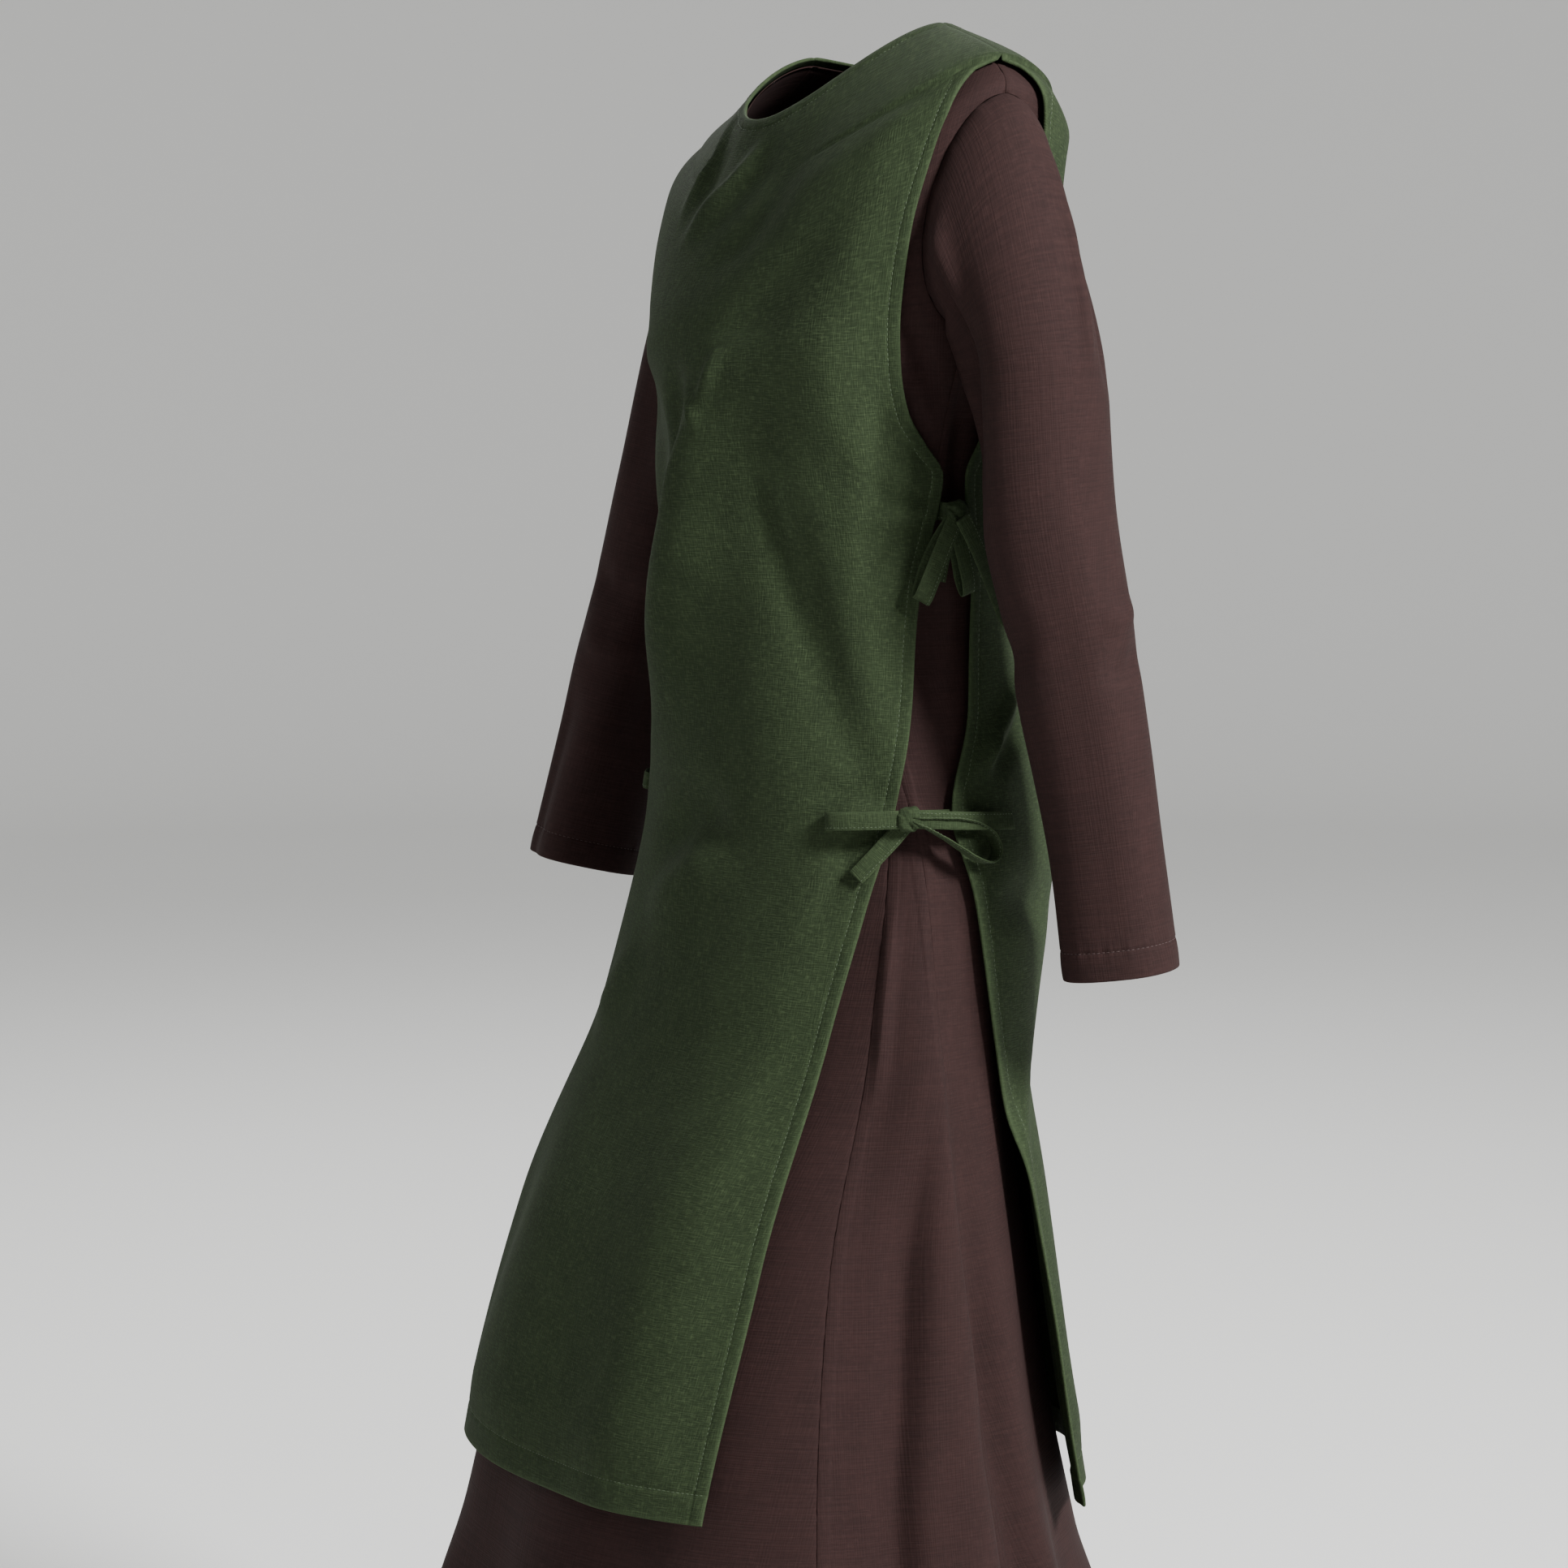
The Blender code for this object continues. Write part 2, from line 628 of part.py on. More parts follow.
def build_knot(name, bow, material):
    """The bow's knot: a small rounded bundle of wound tape."""
    rings = np.linspace(-1.0, 1.0, KNOT_ROWS + 1)
    turns = np.linspace(0.0, 2.0 * np.pi, KNOT_SIDES, endpoint=False)
    bulge = 0.62 + 0.38 * np.sqrt(1.0 - rings ** 2)
    along = KNOT_HALF_ALONG * rings[:, None] * np.ones_like(turns)[None, :]
    drop = KNOT_HALF_UP * bulge[:, None] * np.cos(turns)[None, :]
    raised = KNOT_STAND + KNOT_HALF_OUT * bulge[:, None] * np.sin(turns)[None, :]
    skin = tie_point(bow, along, drop, raised)
    ends = tie_point(bow, np.array([-KNOT_HALF_ALONG, KNOT_HALF_ALONG]), np.zeros(2), np.full(2, KNOT_STAND))
    count = skin.shape[0] * skin.shape[1]
    index = np.arange(count).reshape(skin.shape[:2])
    first = np.full(KNOT_SIDES, count)
    last = np.full(KNOT_SIDES, count + 1)
    index = np.concatenate([[first], index, [last]])
    points = np.concatenate([skin.reshape(-1, 3), ends])
    return add_solid(name, points, grid_faces(index, closed_rows=True), material)


def loop_course(tape):
    """A teardrop out from the knot and back: the reach follows a half wave and the belly a whole one."""
    share = np.linspace(0.0, 1.0, LOOP_STATIONS + 1)
    reach = TAPE_START + tape.reach * np.sin(np.pi * share)
    apart = tape.belly * np.sin(2.0 * np.pi * share) + 0.75 * TAPE_WALL * np.cos(np.pi * share)
    sag = tape.sag * np.sin(np.pi * share) ** 2
    return reach, apart, sag


def tail_course(tape):
    """A straight run out from the knot that sags toward its end."""
    share = np.linspace(0.0, 1.0, TAIL_STATIONS + 1)
    reach = TAPE_START + tape.reach * share
    return reach, np.zeros_like(share), tape.sag * share ** 2


def build_tape(name, bow, tape, material):
    """One loop or tail of a bow, laid over the overgown."""
    reach, apart, sag = loop_course(tape) if tape.piece.startswith("loop") else tail_course(tape)
    direction = np.radians(tape.direction)
    roll = np.radians(tape.on_edge)
    side_step = apart * np.sin(roll)
    along = reach * np.cos(direction) - side_step * np.sin(direction)
    drop = reach * np.sin(direction) + side_step * np.cos(direction) + sag
    raised = tape.stand + apart * np.cos(roll)
    forward, down, away = tie_frame(bow, along, drop, raised)
    across = np.cos(roll) * (down * np.cos(direction) - forward * np.sin(direction)) + np.sin(roll) * away
    return add_tape(name, tie_point(bow, along, drop, raised), across, material)


def build_strap(name, bow, edge_along, way, material):
    """The stretch of tape from under a panel's edge to the knot; way is 1 for the front panel."""
    share = np.linspace(0.0, 1.0, STRAP_STATIONS)
    start = edge_along + way * STRAP_LAP
    stop = way * STRAP_END
    along = start + (stop - start) * share
    beyond = ((edge_along - along) * way - STRAP_EDGE_GAP) / (abs(edge_along - stop) - STRAP_EDGE_GAP)
    rise = np.clip(beyond, 0.0, 1.0)
    rise = rise * rise * (3.0 - 2.0 * rise)
    under = -OVER_WALL - STRAP_LAP_GAP - 0.5 * TAPE_WALL
    raised = under + (STRAP_STAND - under) * rise
    drop = np.zeros_like(along)
    down = tie_frame(bow, along, drop, raised)[1]
    return add_tape(name, tie_point(bow, along, drop, raised), down, material)


def join_solids(name, pieces, material):
    """Unite overlapping solids into one body with an exact boolean and remove the parts."""
    whole = pieces[0]
    for piece in pieces[1:]:
        union = whole.modifiers.new("union", "BOOLEAN")
        union.operation = "UNION"
        union.solver = "EXACT"
        union.object = piece
    bpy.context.view_layer.update()
    graph = bpy.context.evaluated_depsgraph_get()
    mesh = bpy.data.meshes.new_from_object(whole.evaluated_get(graph))
    for piece in pieces:
        bpy.data.objects.remove(piece, do_unlink=True)
    mesh.name = name
    mesh.materials.clear()
    mesh.materials.append(material)
    mesh.shade_smooth()
    item = bpy.data.objects.new(name, mesh)
    bpy.context.scene.collection.objects.link(item)


def build_bows(material):
    """The four side bows, each one body: the knot, two loops, two tails and the straps to both panels."""
    for bow in BOWS:
        level = level_at(bow.height)
        values = smooth_table(level, BODY_LEVELS, BODY_VALUES)
        radius = 0.5 * (values[3] + values[4])
        front_edge, back_edge = over_edge_angles(level)
        front_along = (np.radians(bow.angle) - front_edge) * radius
        back_along = (np.radians(bow.angle) - back_edge) * radius
        pieces = [
            build_knot("knot", bow, material),
            build_strap("strap_front", bow, front_along, 1.0, material),
            build_strap("strap_back", bow, back_along, -1.0, material),
        ]
        pieces += [build_tape(tape.piece, bow, tape, material) for tape in TAPES if bow.name.startswith(tape.bow)]
        join_solids("bow_" + bow.name, pieces, material)


def main():
    """Clear the scene and build the gown, the overgown and its bows."""
    for item in list(bpy.data.objects):
        bpy.data.objects.remove(item, do_unlink=True)
    gown_cloth = make_material("gown_cloth", BROWN)
    sleeve_cloth = make_material("sleeve_cloth", BROWN)
    over_cloth = make_material("overgown_cloth", GREEN)
    tape_cloth = make_material("tie_cloth", GREEN)
    build_gown_panels(gown_cloth)
    build_gores(gown_cloth)
    build_sleeves(sleeve_cloth)
    build_over_panels(over_cloth)
    build_bows(tape_cloth)


main()
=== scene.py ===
"""Looks of a medieval gown worn under a sleeveless overgown that is tied at the sides with tape bows.

Metres, +Z up. The front faces -Y and the wearer's left side is at +X. All cloth is laid over one form:
an angle runs round the body from the centre front over the left side, and a level counts down its rings.
"""
import logging
import math
from dataclasses import dataclass, field
from enum import Enum

import bpy
import numpy as np
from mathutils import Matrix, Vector


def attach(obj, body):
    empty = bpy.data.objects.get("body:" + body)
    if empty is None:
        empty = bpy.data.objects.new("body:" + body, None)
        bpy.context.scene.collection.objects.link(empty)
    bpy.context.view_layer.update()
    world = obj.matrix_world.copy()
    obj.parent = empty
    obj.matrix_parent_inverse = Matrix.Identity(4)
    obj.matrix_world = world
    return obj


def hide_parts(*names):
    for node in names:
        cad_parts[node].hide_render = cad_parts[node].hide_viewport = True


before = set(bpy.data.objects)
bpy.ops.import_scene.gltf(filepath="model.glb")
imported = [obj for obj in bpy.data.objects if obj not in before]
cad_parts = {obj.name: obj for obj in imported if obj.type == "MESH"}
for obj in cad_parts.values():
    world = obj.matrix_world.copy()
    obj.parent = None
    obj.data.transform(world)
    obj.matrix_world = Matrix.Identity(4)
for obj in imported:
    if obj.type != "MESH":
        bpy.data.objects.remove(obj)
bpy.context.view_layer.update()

log = logging.getLogger("gown")
MM = 0.001
BODY_NAME = "root"


class Slot(Enum):
    """The record's material slots."""

    GOWN = "gown_cloth"
    OVERGOWN = "overgown_cloth"


def smooth_table(position: np.ndarray, places: np.ndarray, values: np.ndarray) -> np.ndarray:
    """Read a table by monotone cubic pieces: each tangent is the harmonic mean of its two slopes.

    Args:
        position: where to read, any shape.
        places: rising numbers, one for each row of the table.
        values: the table's rows and columns.

    Returns:
        The table's columns at each position, as a last axis.
    """
    places = np.asarray(places, dtype=float)
    values = np.asarray(values, dtype=float)
    step = np.diff(places)[:, None]
    slope = np.diff(values, axis=0) / step
    product = slope[:-1] * slope[1:]
    total = slope[:-1] + slope[1:]
    inner = np.where(product > 0.0, 2.0 * product / np.where(total == 0.0, 1.0, total), 0.0)
    tangent = np.concatenate([slope[:1], inner, slope[-1:]], axis=0)
    at = np.clip(np.asarray(position, dtype=float), places[0], places[-1])
    row = np.clip(np.searchsorted(places, at, side="right") - 1, 0, len(places) - 2)
    span = step[row, 0][..., None]
    share = ((at - places[row]) / step[row, 0])[..., None]
    low = (1.0 + 2.0 * share) * (1.0 - share) ** 2
    high = share ** 2 * (3.0 - 2.0 * share)
    low_turn = share * (1.0 - share) ** 2 * span
    high_turn = share ** 2 * (share - 1.0) * span
    return low * values[row] + high * values[row + 1] + low_turn * tangent[row] + high_turn * tangent[row + 1]


def soft_step(value: np.ndarray, low: float, high: float) -> np.ndarray:
    """Rise from 0 at low to 1 at high along three times the square less twice the cube."""
    share = np.clip((np.asarray(value, dtype=float) - low) / (high - low), 0.0, 1.0)
    return share * share * (3.0 - 2.0 * share)


def unit(vectors: np.ndarray) -> np.ndarray:
    """Vectors of length one along the last axis."""
    return vectors / np.maximum(np.linalg.norm(vectors, axis=-1, keepdims=True), 1e-12)


@dataclass(frozen=True)
class Ring:
    """One ring of the form: heights at side, front and back, half width, depths and middle."""

    side: float
    front: float
    back: float
    half_width: float
    front_depth: float
    back_depth: float
    middle: float

    def row(self) -> tuple[float, ...]:
        """The ring as a row of numbers."""
        return (self.side, self.front, self.back, self.half_width, self.front_depth, self.back_depth, self.middle)


RINGS = (
    Ring(0.000, -0.062, -0.022, 0.087, 0.092, 0.048, 0.030),
    Ring(-0.013, -0.080, -0.042, 0.126, 0.099, 0.076, 0.030),
    Ring(-0.030, -0.106, -0.068, 0.163, 0.106, 0.094, 0.028),
    Ring(-0.050, -0.135, -0.100, 0.182, 0.112, 0.103, 0.022),
    Ring(-0.120, -0.175, -0.150, 0.177, 0.116, 0.108, 0.012),
    Ring(-0.205, -0.215, -0.205, 0.161, 0.119, 0.108, 0.004),
    Ring(-0.300, -0.300, -0.300, 0.147, 0.110, 0.101, 0.000),
    Ring(-0.400, -0.400, -0.400, 0.140, 0.101, 0.096, 0.000),
    Ring(-0.480, -0.480, -0.480, 0.150, 0.104, 0.104, 0.000),
    Ring(-0.550, -0.550, -0.550, 0.162, 0.107, 0.109, 0.000),
    Ring(-0.690, -0.690, -0.690, 0.184, 0.117, 0.116, -0.022),
    Ring(-0.840, -0.840, -0.840, 0.214, 0.162, 0.162, -0.050),
    Ring(-1.000, -1.000, -1.000, 0.248, 0.202, 0.196, -0.060),
    Ring(-1.180, -1.180, -1.180, 0.282, 0.244, 0.236, -0.060),
    Ring(-1.360, -1.360, -1.360, 0.310, 0.272, 0.264, -0.058),
)


@dataclass(frozen=True)
class Form:
    """The surface that the cloth hangs on: a stack of rings, each an ellipse whose front and back may drop."""

    rings: tuple[Ring, ...] = RINGS
    drop_power: float = 1.6
    right_drop: float = 0.024
    right_reach: float = 0.165
    right_end: float = 6.0

    def values(self, level: np.ndarray) -> np.ndarray:
        """The ring's seven numbers at each level."""
        return smooth_table(level, np.arange(len(self.rings)), [ring.row() for ring in self.rings])

    def radius(self, level: np.ndarray) -> np.ndarray:
        """Mean of half width and front depth, which turns angles into metres of cloth."""
        values = self.values(level)
        return 0.5 * (values[..., 3] + values[..., 4])

    def height(self, level: np.ndarray) -> np.ndarray:
        """Height of the ring's side."""
        return self.values(level)[..., 0]

    def level_at(self, height: np.ndarray) -> np.ndarray:
        """The level whose side height is the given one."""
        even = np.linspace(0.0, len(self.rings) - 1.0, 1401)
        return np.interp(-np.asarray(height, dtype=float), -self.height(even), even)

    def point(self, angle: np.ndarray, level: np.ndarray) -> np.ndarray:
        """Points of the bare form.

        x is the half width times the sine of the angle, y is the middle less the depth times its cosine,
        and z drops from the side by the cosine to a power. The right shoulder hangs a little lower.

        Args:
            angle: radians round the body.
            level: place down the rings.

        Returns:
            Points with x, y and z as the last axis.
        """
        angle, level = np.broadcast_arrays(np.asarray(angle, dtype=float), np.asarray(level, dtype=float))
        side, front, back, half_width, front_depth, back_depth, middle = np.moveaxis(self.values(level), -1, 0)
        cosine = np.cos(angle)
        ahead = cosine > 0.0
        x = half_width * np.sin(angle)
        y = middle - np.where(ahead, front_depth, back_depth) * cosine
        z = side + (np.where(ahead, front, back) - side) * np.abs(cosine) ** self.drop_power
        upper = 1.0 - np.clip(level / self.right_end, 0.0, 1.0) ** 2
        z = z - self.right_drop * soft_step(-x / self.right_reach, 0.0, 1.0) * upper
        return np.stack([x, y, z], axis=-1)

    def outward(self, angle: np.ndarray, level: np.ndarray) -> np.ndarray:
        """Unit vectors square to the bare form, the cross product of its two small steps."""
        step = 1e-3
        level = np.asarray(level, dtype=float)
        low = np.maximum(level - step, 0.0)
        high = np.minimum(level + step, len(self.rings) - 1.0)
        round_way = self.point(angle + step, level) - self.point(angle - step, level)
        return unit(np.cross(self.point(angle, high) - self.point(angle, low), round_way))


FORM = Form()


@dataclass(frozen=True)
class Crease:
    """A soft ridge (height above 0) or trough (below 0) along a curved line on the cloth.

    The line's points are an angle in degrees and a level. The profile is a bell that may be steeper on
    one side: left is toward smaller angles. head and tail are the strengths kept at the line's ends.
    """

    line: tuple[tuple[float, float], ...]
    height_mm: float
    left_mm: float
    right_mm: float
    head: float = 0.0
    tail: float = 0.0

    def course(self) -> np.ndarray:
        """The line as 28 points of angle and level, read smoothly between the given ones."""
        places = np.arange(len(self.line))
        return smooth_table(np.linspace(0.0, places[-1], 28), places, self.line)


def crease_heights(creases: tuple[Crease, ...], across: np.ndarray, down: np.ndarray, flatten) -> np.ndarray:
    """Sum of the creases: each is its height times the fade along it times the bell of the distance to it.

    Args:
        creases: the ridges and troughs.
        across: metres round the cloth at each point.
        down: metres down the cloth at each point.
        flatten: turns degrees and levels into the same metres.

    Returns:
        Metres by which each point is raised.
    """
    total = np.zeros(across.shape)
    for crease in creases:
        course = crease.course()
        line_across, line_down = flatten(course[:, 0], course[:, 1])
        reach = 3.2 * MM * max(crease.left_mm, crease.right_mm)
        near = (across > line_across.min() - reach) & (across < line_across.max() + reach)
        near &= (down > line_down.min() - reach) & (down < line_down.max() + reach)
        if not near.any():
            continue
        point = np.stack([across[near], down[near]], axis=-1)[:, None, :]
        knot = np.stack([line_across, line_down], axis=-1)
        run = np.diff(knot, axis=0)[None]
        share = np.clip(((point - knot[None, :-1]) * run).sum(-1) / (run ** 2).sum(-1), 0.0, 1.0)
        gap = point - knot[None, :-1] - run * share[..., None]
        distance = np.sqrt((gap ** 2).sum(-1))
        nearest = distance.argmin(axis=1)
        rows = np.arange(len(nearest))
        along = (nearest + share[rows, nearest]) / (len(knot) - 1)
        turn = run[0, nearest, 0] * gap[rows, nearest, 1] - run[0, nearest, 1] * gap[rows, nearest, 0]
        sign = np.where(run[0, nearest, 1] * turn > 0.0, 1.0, 1.0) * np.sign(turn)
        facing = np.where(line_down[-1] >= line_down[0], -sign, sign)
        width = MM * (crease.right_mm + crease.left_mm + (crease.right_mm - crease.left_mm) * facing) / 2.0
        fade = np.where(
            along < 0.5,
            crease.head + (1.0 - crease.head) * soft_step(along, 0.0, 0.4),
            crease.tail + (1.0 - crease.tail) * soft_step(1.0 - along, 0.0, 0.4))
        total[near] += crease.height_mm * MM * fade * np.exp(-(distance[rows, nearest] / width) ** 2)
    return total


def body_flatten(angle: np.ndarray, level: np.ndarray) -> tuple[np.ndarray, np.ndarray]:
    """Metres round and down the body for an angle in degrees and a level."""
    return np.radians(angle) * FORM.radius(level), -FORM.height(level)


def ripple(across: np.ndarray, seed: float, length: float) -> np.ndarray:
    """Uneven small waves: three sines whose lengths don't divide each other, between -1 and 1."""
    turn = 2.0 * np.pi * across / length
    return (np.sin(turn + seed) + 0.6 * np.sin(1.73 * turn + 2.1 * seed) + 0.4 * np.sin(2.61 * turn + 3.7 * seed)) / 2.0


def linear(hex_colour: str) -> tuple[float, float, float, float]:
    """Turn an sRGB hex colour into linear numbers with an alpha of 1."""
    values = [int(hex_colour[at:at + 2], 16) / 255.0 for at in (1, 3, 5)]
    return tuple(v / 12.92 if v <= 0.04045 else ((v + 0.055) / 1.055) ** 2.4 for v in values) + (1.0,)


def add_node(tree: bpy.types.NodeTree, kind: str, links: dict | None = None, inputs: dict | None = None,
             **settings) -> bpy.types.Node:
    """Add one node with its settings, its input values and its links.

    Args:
        tree: the material's node tree.
        kind: the node's type.
        links: input name or number to the socket that feeds it.
        inputs: input name or number to its value.
        settings: attributes of the node.

    Returns:
        The new node.
    """
    node = tree.nodes.new(kind)
    for name, value in settings.items():
        setattr(node, name, value)
    for name, value in (inputs or {}).items():
        node.inputs[name].default_value = value
    for name, socket in (links or {}).items():
        tree.links.new(socket, node.inputs[name])
    return node


@dataclass(frozen=True)
class WovenFinish:
    """A matt woven cloth: streaks of uneven yarn both ways, slubs, flecks, mottling and paler worn edges.

    Scales are in mm. The real thread spacing is about 0.5 mm, under a pixel of the render, so the yarn
    is drawn about twice as coarse as it is.
    """

    name: str
    ground: str
    yarn_dark: str
    yarn_pale: str
    fleck: str
    edge: str
    yarn_mm: float
    yarn_run_mm: float
    yarn_share: float
    slub_mm: float
    slub_run_mm: float
    slub_share: float
    mottle_mm: float
    mottle_share: float
    edge_share: float
    bump_mm: float
    roughness: float
    sheen: float
    sheen_roughness: float

    def stretched_noise(self, tree: bpy.types.NodeTree, uv: bpy.types.NodeSocket, across_mm: float,
                        along_mm: float, detail: float, shift: float) -> bpy.types.NodeSocket:
        """Noise whose grains are across_mm wide and along_mm long on the flat cloth."""
        mapping = add_node(tree, "ShaderNodeMapping", {"Vector": uv}, {
            "Location": (shift, shift * 1.7, 0.0), "Scale": (1000.0 / across_mm, 1000.0 / along_mm, 1.0)})
        noise = add_node(tree, "ShaderNodeTexNoise", {"Vector": mapping.outputs["Vector"]}, {
            "Scale": 1.0, "Detail": detail, "Roughness": 0.55}, noise_dimensions="2D")
        return noise.outputs["Fac"]

    def ramp(self, tree: bpy.types.NodeTree, fac: bpy.types.NodeSocket, low: float,
             high: float) -> bpy.types.NodeSocket:
        """Spread the stretch of a noise between low and high to the whole of 0 to 1."""
        node = add_node(tree, "ShaderNodeMapRange", {"Value": fac}, {"From Min": low, "From Max": high},
                        interpolation_type="SMOOTHSTEP")
        return node.outputs["Result"]

    def mix(self, tree: bpy.types.NodeTree, fac: bpy.types.NodeSocket, share: float,
            under: bpy.types.NodeSocket, over: str) -> bpy.types.NodeSocket:
        """Lay a colour over another where the factor says, to a share at most."""
        scaled = add_node(tree, "ShaderNodeMath", {0: fac}, {1: share}, operation="MULTIPLY")
        node = add_node(tree, "ShaderNodeMix", {"Factor": scaled.outputs[0], "A": under}, data_type="RGBA")
        node.inputs[7].default_value = linear(over)
        tree.links.new(scaled.outputs[0], node.inputs[0])
        tree.links.new(under, node.inputs[6])
        return node.outputs[2]

    def build(self) -> bpy.types.Material:
        """Make the material from the UV map in metres and the edge attribute.

        Returns:
            The material.
        """
        material = bpy.data.materials.new(self.name)
        material.use_nodes = True
        tree = material.node_tree
        shader = tree.nodes["Principled BSDF"]
        shader.inputs["Roughness"].default_value = self.roughness
        shader.inputs["Specular IOR Level"].default_value = 0.16
        shader.inputs["Sheen Weight"].default_value = self.sheen
        shader.inputs["Sheen Roughness"].default_value = self.sheen_roughness
        shader.inputs["Sheen Tint"].default_value = linear(self.edge)
        uv = add_node(tree, "ShaderNodeUVMap", uv_map="cloth").outputs["UV"]
        warp = self.ramp(tree, self.stretched_noise(tree, uv, self.yarn_mm, self.yarn_run_mm, 1.0, 3.1), 0.30, 0.70)
        weft = self.ramp(tree, self.stretched_noise(tree, uv, self.yarn_run_mm, self.yarn_mm, 1.0, 7.7), 0.30, 0.70)
        warp_noise = self.stretched_noise(tree, uv, self.slub_mm, self.slub_run_mm, 0.0, 1.3)
        weft_noise = self.stretched_noise(tree, uv, self.slub_run_mm, self.slub_mm, 0.0, 9.1)
        warp_slub = self.ramp(tree, warp_noise, 0.62, 0.76)
        weft_slub = self.ramp(tree, weft_noise, 0.62, 0.76)
        dark_slub = self.ramp(tree, weft_noise, 0.38, 0.24)
        mottle = self.ramp(tree, self.stretched_noise(tree, uv, self.mottle_mm, 1.6 * self.mottle_mm, 1.0, 2.2), 0.32, 0.68)
        edge = add_node(tree, "ShaderNodeAttribute", attribute_name="edge").outputs["Fac"]
        ground = add_node(tree, "ShaderNodeMix", {}, {6: linear(self.ground), 7: linear(self.yarn_dark)},
                          data_type="RGBA")
        dulled = add_node(tree, "ShaderNodeMath", {0: mottle}, {1: self.mottle_share}, operation="MULTIPLY")
        tree.links.new(dulled.outputs[0], ground.inputs[0])
        colour = ground.outputs[2]
        colour = self.mix(tree, warp, self.yarn_share, colour, self.yarn_dark)
        colour = self.mix(tree, weft, self.yarn_share, colour, self.yarn_pale)
        colour = self.mix(tree, dark_slub, self.slub_share, colour, self.yarn_dark)
        colour = self.mix(tree, warp_slub, self.slub_share, colour, self.fleck)
        colour = self.mix(tree, weft_slub, self.slub_share, colour, self.fleck)
        colour = self.mix(tree, edge, self.edge_share, colour, self.edge)
        tree.links.new(colour, shader.inputs["Base Color"])
        woven = add_node(tree, "ShaderNodeMath", {0: warp, 1: weft}, operation="ADD")
        bump = add_node(tree, "ShaderNodeBump", {"Height": woven.outputs[0]}, {
            "Strength": 0.8, "Distance": self.bump_mm * MM})
        tree.links.new(bump.outputs["Normal"], shader.inputs["Normal"])
        return material


# Slubby plain-weave linen, piece dyed moss green: thick and thin yarns show as pale and dark short streaks.
LINEN = WovenFinish(
    name="moss_linen", ground="#222C1A", yarn_dark="#151D0F", yarn_pale="#2F3B25", fleck="#414E34",
    edge="#3A472F", yarn_mm=0.9, yarn_run_mm=9.0, yarn_share=0.26, slub_mm=0.9, slub_run_mm=5.0,
    slub_share=0.20, mottle_mm=22.0, mottle_share=0.30, edge_share=0.40, bump_mm=0.20, roughness=0.90,
    sheen=0.05, sheen_roughness=0.35)
# Fine dense cotton twill, dark reddish brown: nearly even, with faint lengthwise streaks.
COTTON = WovenFinish(
    name="bark_cotton", ground="#251615", yarn_dark="#1A0F0E", yarn_pale="#301E1C", fleck="#3A2725",
    edge="#32201F", yarn_mm=1.2, yarn_run_mm=60.0, yarn_share=0.28, slub_mm=1.1, slub_run_mm=6.0,
    slub_share=0.12, mottle_mm=30.0, mottle_share=0.25, edge_share=0.20, bump_mm=0.12, roughness=0.86,
    sheen=0.05, sheen_roughness=0.35)


@dataclass(frozen=True)
class ThreadFinish:
    """Spun polyester sewing thread, slightly glossy and a little paler than the cloth."""

    name: str
    colour: str
    pale: str
    roughness: float = 0.6

    def build(self) -> bpy.types.Material:
        """Make the material: thread whose tone changes a little from stitch to stitch."""
        material = bpy.data.materials.new(self.name)
        material.use_nodes = True
        tree = material.node_tree
        shader = tree.nodes["Principled BSDF"]
        shader.inputs["Roughness"].default_value = self.roughness
        place = add_node(tree, "ShaderNodeTexCoord").outputs["Object"]
        noise = add_node(tree, "ShaderNodeTexNoise", {"Vector": place}, {"Scale": 260.0, "Detail": 1.0})
        tone = add_node(tree, "ShaderNodeMix", {}, {6: linear(self.colour), 7: linear(self.pale)}, data_type="RGBA")
        tree.links.new(noise.outputs["Fac"], tone.inputs[0])
        tree.links.new(tone.outputs[2], shader.inputs["Base Color"])
        return material


GREEN_THREAD = ThreadFinish("green_thread", "#1E2917", "#46543B")
BROWN_THREAD = ThreadFinish("brown_thread", "#241615", "#3D2927")


def quads(index: np.ndarray) -> np.ndarray:
    """Four-cornered faces of a grid of point numbers."""
    return np.stack([index[:-1, :-1], index[:-1, 1:], index[1:, 1:], index[1:, :-1]], axis=-1).reshape(-1, 4)


